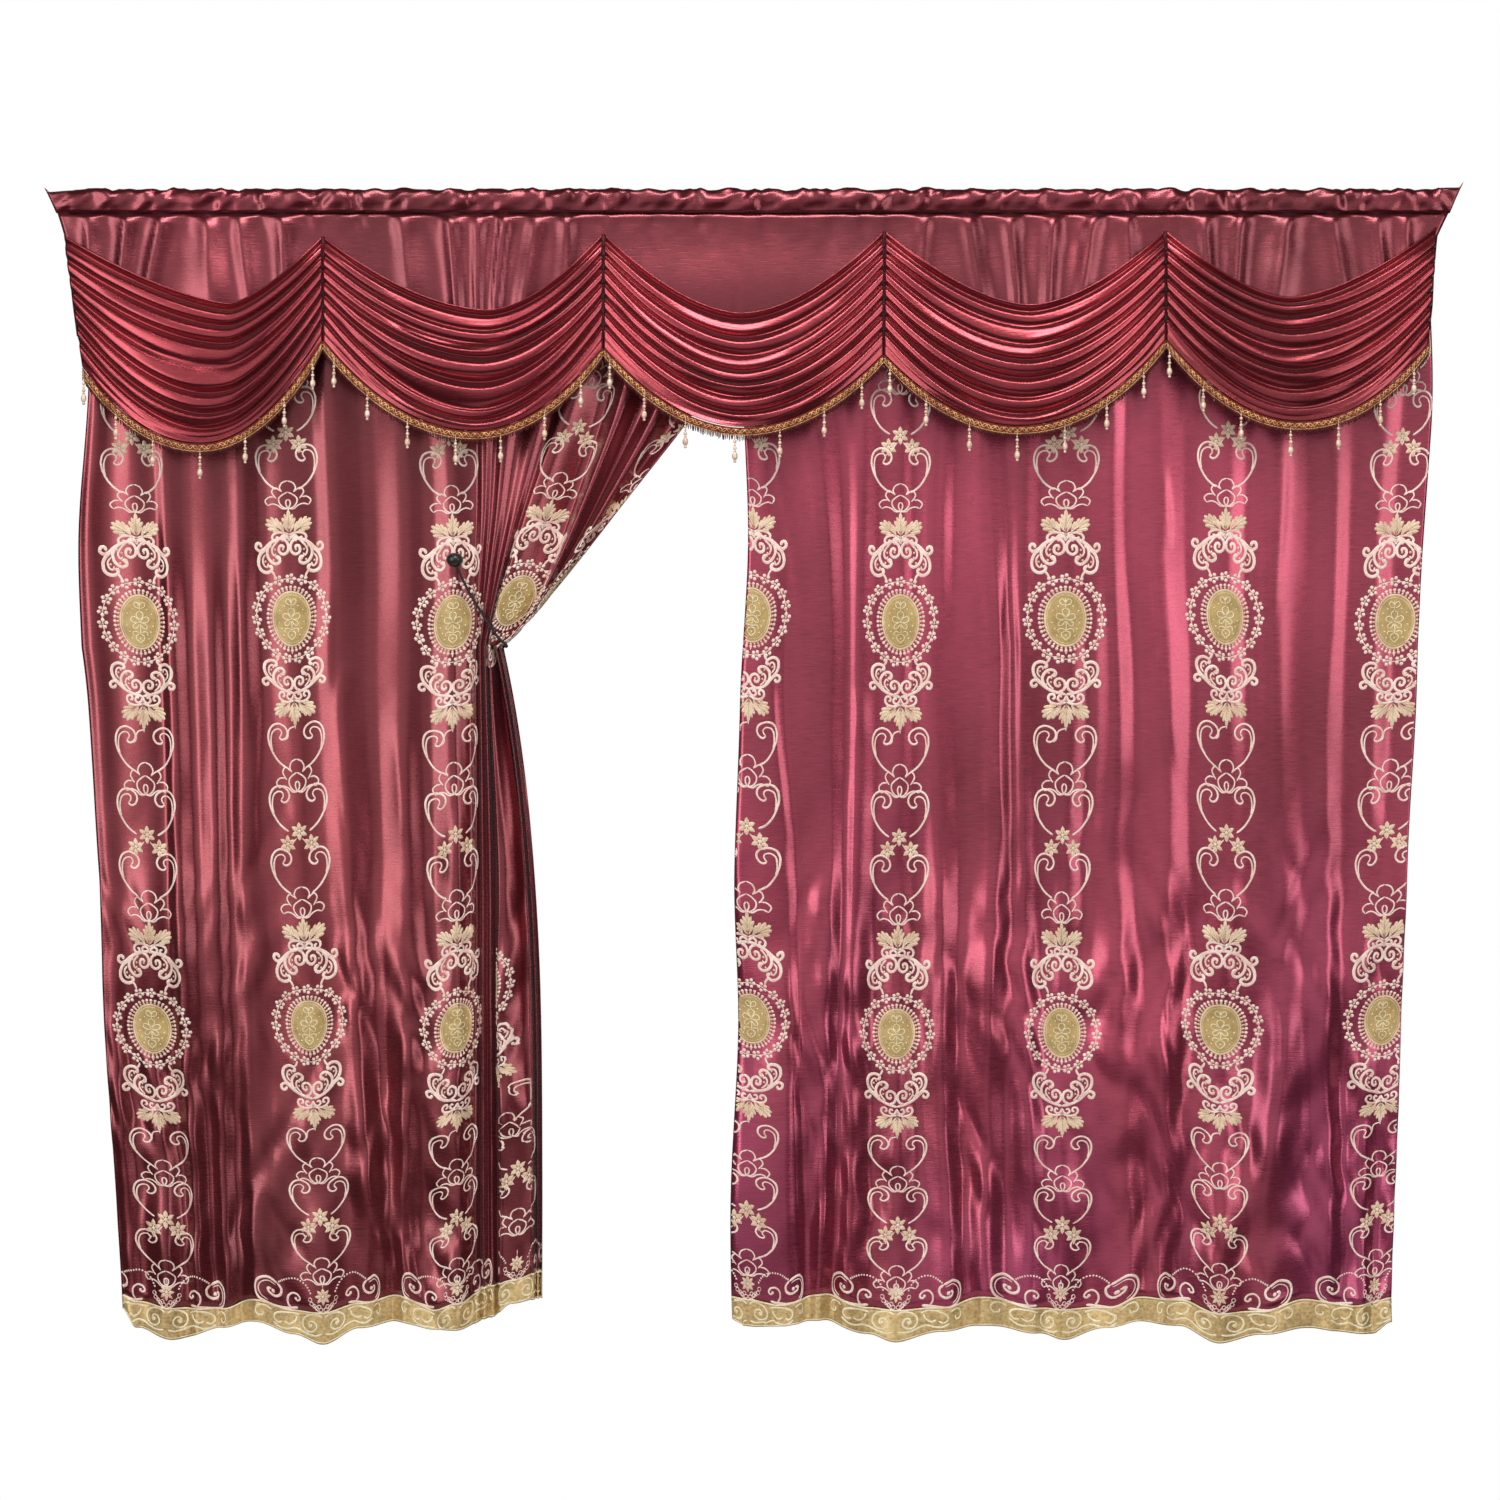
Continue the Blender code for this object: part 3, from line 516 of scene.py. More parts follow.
ring = curve_through(np.array(HEADING_RING + HEADING_RING[:1]) * MM, HEADING_AROUND + 1)[:-1]
lift = np.clip((ring[:, 1] - ring[:, 1].min()) / np.ptp(ring[:, 1]), 0.0, 1.0)
stations = np.linspace(POCKET_LEFT, POCKET_RIGHT, HEADING_STATIONS)[:, None]
swell = 1.0 + SWELL * gathers(stations) * np.sqrt(lift)
near_seam = smooth(lift / 0.30)
puff = pucker(stations, ring[:, 1][None, :] + ring[:, 0][None, :] * 0.5) * (0.25 + 0.75 * near_seam)
outward = np.sign(ring[:, 0]) * puff * np.clip(np.abs(ring[:, 0]) / (9 * MM), 0, 1)
heading_y = ring[:, 0] * swell + outward
top_rise = TOP_WAVE * gathers(stations * 1.3 + 0.4)
top_rise = top_rise + TOP_RUMPLE * rumple(stations, stations * 0, 0.012, 1.0, 14)
heading_z = ring[:, 1] + top_rise * lift ** 3
heading_x = np.broadcast_to(stations, heading_y.shape)
heading_grid = np.stack([heading_x, heading_y, heading_z], -1)

points = [heading_grid.reshape(-1, 3)]
faces = grid_faces(HEADING_STATIONS, HEADING_AROUND, ring=True).tolist()
front = [k for k in range(HEADING_AROUND) if ring[k, 0] <= FRONT_Y]
count = HEADING_STATIONS * HEADING_AROUND
for station, row in ((0, LEFT_EAR), (HEADING_STATIONS - 1, RIGHT_EAR)):
    top_x, middle_x, seam_x, tip_z = (value * MM for value in row)
    seam_z = ring[:, 1].min()
    corners = (
        (seam_x, BASE_SEAM_Y, seam_z),
        (middle_x, EAR_MIDDLE_Y, (tip_z + seam_z) / 2),
        (top_x, EAR_TOP_Y, tip_z),
    )
    edge = curve_through(corners, len(front))
    start = heading_grid[station, front]
    inner = [station * HEADING_AROUND + k for k in front]
    for step in range(1, EAR_STEPS + 1):
        part = step / EAR_STEPS
        line = start * (1.0 - part) + edge * part
        wave = np.sin(np.arange(len(front)) * 1.35 + part * 3.0)
        line[:, 1] += EAR_FOLD * wave * math.sin(math.pi * min(part, 0.93)) ** 2
        points.append(line)
        outer = [count + k for k in range(len(front))]
        count += len(front)
        for (a, b), (c, d) in zip(zip(inner, inner[1:]), zip(outer, outer[1:])):
            faces.append((a, c, d, b) if station else (a, b, d, c))
        inner = outer
heading = mesh_piece("heading", np.vstack(points), faces, [valance_satin])
thicken(heading)
settle(heading, "valance_satin", "heading_pocket")
along = float(lengths(heading_grid[:, front[len(front) // 2]])[-1])

# %% [markdown]
# ## The valance's flat cloth
#
# Behind the swags hangs one plain cloth, sewn to the heading. Its gathers start sharp at the
# seam and open into broad ripples. It is a grid too: the ripples come from the table, and a
# finer rumple fades with the distance from the seam. An upright join shows where two widths of
# satin were sewn together.

# %% Valance cloth
RIPPLE_COLUMNS = ("x", "width", "out")
BASE_RIPPLES = (
    (-1334, 20, 4.0),
    (-1252, 22, 4.5),
    (-1184, 26, 5.0),
    (-1094, 30, 5.5),
    (-1034, 22, 4.0),
    (-944, 24, 4.0),
    (-706, 20, 3.5),
    (-612, 26, 5.5),
    (-552, 22, 5.0),
    (-498, 20, 4.5),
    (-434, 26, 4.5),
    (-376, 20, 4.0),
    (340, 22, 3.5),
    (424, 24, 4.5),
    (505, 24, 4.5),
    (596, 28, 5.0),
    (676, 22, 4.5),
    (744, 22, 4.0),
    (896, 24, 4.5),
    (972, 26, 5.0),
    (1064, 28, 5.0),
    (1150, 24, 4.5),
    (1236, 24, 4.5),
    (1300, 20, 4.0),
)
BASE_FOOT_Z = -300 * MM
BASE_OUT = 24 * MM
BASE_EASE_DEEP = 110 * MM
SEWN_WIDE = 34 * MM
VALANCE_EASE_DEEP = 200 * MM
RIPPLE_EASE_DEEP = 18 * MM
RIPPLE_MORE = 2.9
RIPPLE_NARROW = 0.75
RIPPLE_CREST = 4.0 * MM
RIPPLE_SIDE = 1.4
RIPPLE_LEAN = 0.16
RIPPLE_LEANS = 17.0
SEAM_FRONT = 1.5 * MM
SEAM_FADE = 20 * MM
BASE_SIDE_COLUMNS = ("z", "left_x", "right_x")
BASE_SIDES = (
    (-50, -1394, 1386),
    (-98, -1379, 1363),
    (-175, -1367, 1354),
    (-240, -1359, 1350),
    (-300, -1351, 1343),
)
RUCHE_COLUMNS = ("top_x", "top_z", "foot_x", "foot_z")
RUCHES = (
    (-1378, -98, -1339, -362),
    (-861, -100, -860, -308),
    (-302, -94, -302, -322),
    (258, -88, 256, -336),
    (818, -88, 818, -306),
    (1360, -80, 1341, -314),
)
BASE_COLUMNS = 380
BASE_ROWS = 22
JOIN_TOP_X = -25 * MM
JOIN_FOOT_X = -40 * MM
JOIN_HIGH = 1.3 * MM
JOIN_WIDE = 3.0 * MM
FINE_SHARE = 0.7
FINE_FADE = 30 * MM
BROAD_SEED = 22
BROAD_LEAN = 0.2
BROAD_KNOT = (0.040, 0.240)
BROAD_HIGH = 1.6 * MM
BROAD_FADE = 300 * MM
SEWN_STILL = 10 * MM
ruche = table(RUCHES, RUCHE_COLUMNS)
ripple = table(BASE_RIPPLES, RIPPLE_COLUMNS)


def from_ruche(x):
    """How far a place is from the nearest ruche."""
    return np.min(np.abs(ruche["top_x"][:, None, None] - x), axis=0)


def base_y(x, z):
    """Where the middle of the cloth behind the swags lies."""
    down = smooth((SEAM_Z - z) / VALANCE_EASE_DEEP)
    begun = smooth((SEAM_Z - z) / RIPPLE_EASE_DEEP) * RIPPLE_MORE
    lean = x + RIPPLE_LEAN * (z - SEAM_Z) * np.sin(x * RIPPLE_LEANS)
    out = 0.0
    for middle, wide, high in zip(*(ripple[name] for name in RIPPLE_COLUMNS)):
        beside = np.hypot(lean - middle, RIPPLE_CREST) / (wide * RIPPLE_NARROW)
        out = out + high * np.exp(-(beside ** RIPPLE_SIDE))
    sewn = 1.0 - np.exp(-((from_ruche(x) / SEWN_WIDE) ** 2))
    front = SEAM_FRONT * np.exp(-(SEAM_Z - z) / SEAM_FADE)
    return BASE_SEAM_Y - front - down * BASE_OUT - begun * out * sewn


side = table(BASE_SIDES, BASE_SIDE_COLUMNS)
part = np.linspace(0.0, 1.0, BASE_COLUMNS)[None, :]
base_z = np.linspace(SEAM_Z, BASE_FOOT_Z, BASE_ROWS)[:, None]
left_x = np.interp(-base_z, -side["z"], side["left_x"])
right_x = np.interp(-base_z, -side["z"], side["right_x"])
base_x = left_x + part * (right_x - left_x)
base_z = np.broadcast_to(base_z, base_x.shape)
drop = SEAM_Z - base_z
fine = pucker(base_x, base_z) * FINE_SHARE * np.exp(-drop / FINE_FADE)
clear = 1.0 - np.exp(-((from_ruche(base_x) / (2 * SEWN_WIDE)) ** 2))
broad = rumple(base_x + BROAD_LEAN * drop, drop, *BROAD_KNOT, BROAD_SEED) * BROAD_HIGH
broad = broad * clear * np.exp(-drop / BROAD_FADE)
base_out = base_y(base_x, base_z) - (fine + broad) * smooth(drop / SEWN_STILL)
join_x = JOIN_TOP_X + (JOIN_FOOT_X - JOIN_TOP_X) * drop / (SEAM_Z - BASE_FOOT_Z)
base_out = base_out + JOIN_HIGH * np.exp(-(((base_x - join_x) / JOIN_WIDE) ** 2))
base_grid = np.stack([base_x, base_out, base_z], -1)
valance = cloth("valance_cloth", base_grid, valance_satin)
settle(valance, "valance_satin", "valance_base")
print("valance cloth: flat", flat_size(base_grid))

# %% [markdown]
# ## Swags
#
# A swag is cut as a rectangle and drawn up on a line of stitches at either side, the ruche. Its
# cloth then falls in rounded rolls with tight valleys between them, which run together at the
# ruches. Each swag is a grid whose columns go from ruche to ruche and whose rows follow the
# rolls. The table says how far down the middle each valley lies; at the ruches they are evenly
# spaced, since the gathering thread spaces them.

# %% Swags
SWAG_COLUMNS = ("top_low_x", "top_low_z", "foot_low_x", "foot_low_z", "top_round", "foot_round")
SWAGS = (
    (-1044, -238, -1096, -517, 1.45, 2.0),
    (-532, -251, -556, -492, 1.75, 2.0),
    (-26, -257, -24, -485, 1.75, 1.95),
    (546, -240, 522, -482, 1.70, 2.0),
    (1060, -224, 1077, -473, 1.65, 2.0),
)
SWAG_VALLEYS = (
    (0.05, 0.17, 0.30, 0.48, 0.66, 0.80, 0.905),
    (0.05, 0.17, 0.28, 0.39, 0.60, 0.825, 0.915),
    (0.05, 0.21, 0.38, 0.51, 0.62, 0.73, 0.87),
    (0.06, 0.18, 0.33, 0.46, 0.61, 0.77, 0.90),
    (0.05, 0.16, 0.27, 0.43, 0.59, 0.75, 0.89),
)
RIDGE_PLACE = 0.52
FLAT_HEM_START = 0.968
SWAG_SPREAD = 1.6
SWAG_OUT_TOP = 25 * MM
SWAG_OUT_MIDDLE = 52 * MM
SWAG_OUT_FOOT = 46 * MM
SWAG_FOLD = 9.0 * MM
RUCHE_FOLD = 5.0 * MM
RUCHE_PART = 0.9 * MM
SEWN_EASE = 0.5 * MM
SWAG_STATIONS = 76
SWAG_LINES = 92
VALLEY_SHARP = 3.0
ROLL_SEED, SWAG_CREASE_SEED, SWAG_PLEAT_SEED = 51, 31, 41
ROLL_KNOT = (0.230, 0.9)
SWAG_CREASE_KNOT = (0.090, 0.0150)
SWAG_PLEAT_KNOT = (0.035, 0.0070)
LINE_APART = 10 * MM
ROLL_MEAN = 0.80
ROLL_VARY = 0.85
ROLL_RANGE = (0.22, 1.35)
SWAG_CREASE = 1.8 * MM
SWAG_PLEAT = 1.4 * MM


def swag_lines(number):
    """The swag's edges, ridges and valleys, as (part of the middle's height, side)."""
    valleys = SWAG_VALLEYS[number]
    lines = [(0.0, 0.0)]
    for upper, lower in zip(valleys, valleys[1:] + (1.0,)):
        lines.append((upper, 1.0))
        lines.append((upper + RIDGE_PLACE * (lower - upper), -1.0))
    lines.append((FLAT_HEM_START, 0.0))
    lines.append((1.0, 0.0))
    return np.array(lines)


def swag_edge(number, part, which):
    """x, z and distance from the lowest point, along a swag's upper or lower edge."""
    row = dict(zip(SWAG_COLUMNS, SWAGS[number]))
    x0 = ruche[which + "_x"][number] + RUCHE_PART
    x1 = ruche[which + "_x"][number + 1] - RUCHE_PART
    low_x, low_z = row[which + "_low_x"] * MM, row[which + "_low_z"] * MM
    x = x0 + part * (x1 - x0)
    before = x < low_x
    away = np.where(before, (low_x - x) / (low_x - x0), (x - low_x) / (x1 - low_x))
    end_z = np.where(before, ruche[which + "_z"][number], ruche[which + "_z"][number + 1])
    return x, low_z + (end_z - low_z) * away ** row[which + "_round"], away


def swag_grid(number, parts, at):
    """Points of a swag for parts of the way across and line numbers at, as rows of the grid."""
    lines = swag_lines(number)
    last = len(lines) - 1
    k = np.minimum(at.astype(int), last - 1)
    t = at - k
    centre = (lines[k, 0] * (1 - t) + lines[k + 1, 0] * t)[:, None]
    turn = smooth(t)
    hollow = ((1 + lines[k, 1]) / 2 * (1 - turn) + (1 + lines[k + 1, 1]) / 2 * turn)[:, None]
    even = (at / last)[:, None]
    x_top, z_top, away_top = swag_edge(number, parts[None, :], "top")
    x_foot, z_foot, away_foot = swag_edge(number, parts[None, :], "foot")
    away = (away_top + away_foot) / 2
    down = centre + (even - centre) * away ** SWAG_SPREAD
    x = x_top + (x_foot - x_top) * down
    z = z_top + (z_foot - z_top) * down
    out = np.interp(down, (0.0, 0.5, 1.0), (SWAG_OUT_TOP, SWAG_OUT_MIDDLE, SWAG_OUT_FOOT))
    deep = SWAG_FOLD + (RUCHE_FOLD - SWAG_FOLD) * away ** 2
    along = x_top - x_top.min()
    vary = ROLL_MEAN + ROLL_VARY * rumple(along, at[:, None] / 2.0, *ROLL_KNOT, ROLL_SEED + number)
    vary = np.clip(vary, *ROLL_RANGE)
    vary = vary + (1.0 - vary) * away ** 2
    fold = deep * vary * (2.0 * hollow ** VALLEY_SHARP - 1.0)
    free = smooth(down / 0.04) * smooth((1.0 - down) / 0.03)
    below = at[:, None] * LINE_APART
    leaning = along * (0.4 + 0.3 * down)
    crease = rumple(leaning, below, *SWAG_CREASE_KNOT, SWAG_CREASE_SEED + number)
    pleat = rumple(along, below, *SWAG_PLEAT_KNOT, SWAG_PLEAT_SEED + number)
    loose = (crease * SWAG_CREASE * (1 - away ** 2) + pleat * SWAG_PLEAT * away ** 2) * free
    back = BASE_SEAM_Y - smooth((SEAM_Z - z) / BASE_EASE_DEEP) * BASE_OUT
    sewn = back - CLOTH - GAP - RUCHE_FOLD - SEWN_EASE
    y = sewn - out * (1.0 - away * away) + fold + loose * (1.0 - away ** 8)
    return np.stack([x, y, z], -1)


spread = 0.5 - 0.5 * np.cos(np.linspace(0.0, math.pi, SWAG_STATIONS))
swag_parts = 0.5 * spread + 0.5 * np.linspace(0.0, 1.0, SWAG_STATIONS)
swags = []
for number in range(len(SWAGS)):
    lines_at = np.linspace(0.0, len(swag_lines(number)) - 1.0, SWAG_LINES)
    grid = swag_grid(number, swag_parts, lines_at)
    swag = cloth(f"swag_cloth_{number + 1}", grid, swag_satin)
    settle(swag, "swag_satin", f"swag_{number + 1}")
    swags.append((swag, flat_size(grid)))
    print("swag", number + 1, "flat", flat_size(grid))

# %% [markdown]
# ## Braid, fringe and bead drops
#
# A looped gold and rust braid is sewn under each swag. Short dark red yarns brush down from it,
# and seven strings of pearl beads hang between them. The braid is three cords that weave over
# and under each other in waves along the hem. Every cord, yarn and bead is a small tube or ball,
# made by the same two helpers and joined into one trim for each swag.

# %% Braid materials
def cord_look(name, dark, light, metal, rough, twist=900.0):
    """Twisted yarn between two colours, with a fine bump from its plies."""
    material, look = new_look(name)
    plies = look.noise(twist, twist, twist)
    drift = look.noise(60.0, 60.0, 60.0, 1.0)
    colour = look.mixed(look.stretched(plies * 0.6 + drift * 0.4, 0.35, 0.65), dark, light)
    look.paint(colour, plies * 0.2 + rough, (0.5, 0.6 * MM, plies), {"Metallic": metal})
    return material


braid_gold = cord_look(
    "braid_gold", screen(0.60, 0.29, 0.10), screen(1.0, 0.86, 0.56), 0.35, 0.26, twist=520.0
)
braid_rust = cord_look("braid_rust", screen(0.38, 0.09, 0.06), screen(0.60, 0.20, 0.10), 0.2, 0.40)
brush_red = cord_look("brush_red", screen(0.24, 0.04, 0.05), screen(0.40, 0.09, 0.11), 0.1, 0.45)
pearl = cord_look("pearl_bead", screen(0.86, 0.68, 0.56), screen(1.0, 0.92, 0.84), 0.1, 0.14, twist=250.0)
print("braid materials: four")

# %% [markdown]
# ## Tubes
#
# Cords, yarns and stitches are thin and many. A curve object for each would be slow to handle, so
# one class gathers their points and faces, and makes them into a single mesh at the end.

# %% Tubes
class Makings:
    """Collects small meshes, so that a whole trim becomes one piece."""

    def __init__(self):
        self.points = []
        self.faces = []
        self.looks = []
        self.count = 0

    def add(self, points, faces, look):
        """Add a small mesh, given as points and lists of point numbers."""
        self.points.append(points)
        self.faces.extend([self.count + k for k in face] for face in faces)
        self.looks.extend([look] * len(faces))
        self.count += len(points)

    def tube(self, line, radius, look, sides=5):
        """A closed tube along a line; radius is one number or one for each point."""
        line = np.asarray(line, float)
        radius = np.broadcast_to(radius, len(line))[:, None, None]
        tangent = unit(np.gradient(line, axis=0))
        guide = np.where(np.abs(tangent[:, 1:2]) < 0.9, (0.0, 1.0, 0.0), (1.0, 0.0, 0.0))
        first = unit(np.cross(tangent, guide))
        second = np.cross(tangent, first)
        turn = np.arange(sides) * 2 * math.pi / sides
        spoke = first[:, None] * np.cos(turn)[None, :, None] + second[:, None] * np.sin(turn)[None, :, None]
        points = (line[:, None] + spoke * radius).reshape(-1, 3)
        faces = grid_faces(len(line), sides, ring=True).tolist()
        last = (len(line) - 1) * sides
        faces.append(list(range(sides)))
        faces.append([last + k for k in range(sides)][::-1])
        self.add(points, faces, look)

    def piece(self, name, materials):
        return mesh_piece(name, np.vstack(self.points), self.faces, materials, self.looks)


print("tubes: ready")

# %% [markdown]
# ## Sewing the trims
#
# The braid follows the swag's hem, and a little way below it. The yarns of the brush sway each in
# its own way, by seeded chance. The drops hang straight down at the places that the photo shows.

# %% Braid, brush and drops
TRIM_GAP = 1.0 * MM
BRAID_WAVE = 17 * MM
BRAID_MIDDLE = 8.0 * MM
BRAID_SWING = 3.9 * MM
BRAID_CORD = 1.0 * MM
BRAID_STEP = 2.1 * MM
BRAID_END = 5 * MM
LOOP_LINE = 14.6 * MM
LOOP_DEEP = 1.6 * MM
LOOP_LONG = 7.0 * MM
LOOP_CORD = 0.9 * MM
HEAD_LINE = 1.8 * MM
HEAD_CORD = 1.1 * MM
BACKING_LINES = (2.5, 9.0, 15.0)
BRUSH_FROM = 13.5 * MM
BRUSH_LONG = 13 * MM
BRUSH_STEP = 3.3 * MM
BRUSH_SWAY = 1.6 * MM
BRUSH_RADII = (1.0 * MM, 1.25 * MM, 0.7 * MM)
DROP_FROM = 12 * MM
DROP_LONG = 54 * MM
DROP_ASIDE = 3.2 * MM
DROP_OUT = 2.6 * MM
DROP_THREAD = 0.5 * MM
FIRST_BEAD = 3.0
BRUSH_SEED = 60
DROPS = (
    (-1338, -1268, -1192, -1097, -1008, -933, -879),
    (-837, -769, -688, -592, -503, -417, -346),
    (-289, -220, -138, -40, 49, 137, 212),
    (268, 339, 424, 518, 613, 697, 772),
    (824, 889, 962, 1059, 1154, 1239, 1309),
)
# how far down, radius and half height
BEADS = (
    (7.0, 1.8, 1.8),
    (13.5, 3.4, 3.6),
    (20.5, 2.2, 2.4),
    (27.0, 3.7, 3.9),
    (33.0, 3.0, 2.0),
    (43.0, 5.6, 8.4),
    (53.5, 3.2, 2.6),
)
GOLD, RUST, BRUSH, PEARL = range(4)


def bead(makings, centre, radius, tall, look):
    """A bead as a turned ball, round its thread."""
    heights = np.array((-1.0, -0.72, -0.25, 0.25, 0.72, 1.0))
    widths = np.sqrt(np.maximum(1.0 - heights ** 2, 0.04))
    line = np.asarray(centre) + np.outer(heights[::-1] * tall, (0.0, 0.0, 1.0))
    makings.tube(line, widths * radius, look, sides=8)


def trim_line(number, count):
    """The swag's hem with, at each point, the way across the braid and the way out of the cloth."""
    parts = np.linspace(0.0, 1.0, count)
    last = len(swag_lines(number)) - 1.0
    hem = swag_grid(number, parts, np.array([last]))[0]
    even = lengths(hem)
    at = np.linspace(0.0, even[-1], count)
    hem = np.stack([np.interp(at, even, hem[:, k]) for k in range(3)], -1)
    along = unit(np.gradient(hem, axis=0))
    out = unit(np.cross(along, (0.0, 0.0, 1.0)))
    out *= np.sign(-out[:, 1])[:, None]
    down = np.cross(out, along)
    down *= np.sign(-down[:, 2])[:, None]
    upright = (np.abs(np.linspace(-1.0, 1.0, count)) ** 4)[:, None]
    down = down * (1.0 - upright) + np.array((0.0, 0.0, -1.0)) * upright
    return hem, at, down, out


def sew_braid(trim, hem, at, down, out):
    """Three cords that weave over and under each other on a backing, between two edge cords."""
    ease = smooth(np.minimum(at, at[-1] - at) / BRAID_END)
    for strand, look in enumerate((GOLD, RUST, GOLD)):
        swing = 2 * math.pi * (at / BRAID_WAVE + strand / 3.0)
        offset = (TRIM_GAP + BRAID_MIDDLE + BRAID_SWING * np.sin(swing) * ease)[:, None]
        weave = (BRAID_CORD * 0.9 * np.cos(swing * 2.0) + 0.4 * MM)[:, None]
        trim.tube(hem + down * offset + out * weave, BRAID_CORD, look)
    loops = TRIM_GAP + LOOP_LINE + LOOP_DEEP * np.abs(np.sin(math.pi * at / LOOP_LONG))
    trim.tube(hem + down * loops[:, None] + out * 0.6 * MM, LOOP_CORD, GOLD, sides=4)
    trim.tube(hem + down * (TRIM_GAP + HEAD_LINE) + out * 0.2 * MM, HEAD_CORD, RUST, sides=4)
    backing = np.stack([hem + down * (TRIM_GAP + v * MM) for v in BACKING_LINES], 0)
    faces = grid_faces(len(BACKING_LINES), len(at)).tolist()
    trim.add(backing.reshape(-1, 3), faces, RUST)


def sew_brush(trim, line, at, chance):
    """Short yarns that hang from a line along the braid."""
    for place in np.arange(BRUSH_STEP, at[-1] - BRUSH_STEP / 2, BRUSH_STEP):
        root = np.array([np.interp(place, at, line[:, k]) for k in range(3)])
        sway_x, sway_y = chance.uniform(-1.0, 1.0, 2) * BRUSH_SWAY
        long = BRUSH_LONG * chance.uniform(0.8, 1.15)
        bend = root + (sway_x * 0.5, -1.0 * MM, -long * 0.5)
        tip = root + (sway_x, sway_y * 0.5, -long)
        trim.tube([root, bend, tip], BRUSH_RADII, BRUSH, sides=4)


def hang_drops(trim, line, hem, places):
    """Strings of beads that hang from a line along the braid, at places along x."""
    for place in places:
        x = np.clip(place * MM, hem[0, 0] + DROP_ASIDE, hem[-1, 0] - DROP_ASIDE)
        root = np.array([np.interp(x, hem[:, 0], line[:, k]) for k in range(3)])
        root[0] = x
        root[1] -= DROP_OUT
        trim.tube([root, root - (0, 0, DROP_LONG)], DROP_THREAD, PEARL, sides=4)
        for low, radius, tall in BEADS:
            bead(trim, root - (0, 0, (low + FIRST_BEAD) * MM), radius * MM, tall * MM, PEARL)


for number, (swag, flat) in enumerate(swags):
    long = trim_line(number, 120)[1][-1]
    hem, at, down, out = trim_line(number, int(long / BRAID_STEP))
    trim = Makings()
    chance = np.random.default_rng(BRUSH_SEED + number)
    sew_braid(trim, hem, at, down, out)
    sew_brush(trim, hem + down * (TRIM_GAP + BRUSH_FROM), at, chance)
    hang_drops(trim, hem + down * (TRIM_GAP + DROP_FROM), hem, DROPS[number])
    piece = trim.piece(f"trim_braid_{number + 1}", [braid_gold, braid_rust, brush_red, pearl])
    settle(piece, "trim_braid", f"trim_{number + 1}")
print("trims: five")

# %% [markdown]
# ## The curtains' folds
#
# A curtain's folds are lines from the heading to the hem, by turns a ridge and a valley. The
# table gives where each line is at four levels: the seam, just under the swags, the tie and the
# foot. The left curtain's right third is drawn aside, so its lines run together at the tie and
# hang straight below it. Between two lines the cloth eases from one crest into the next. The
# depths are those of the CAD solid. Satin this bright would show them as hard stripes, so the
# shares named DEEP lessen them.

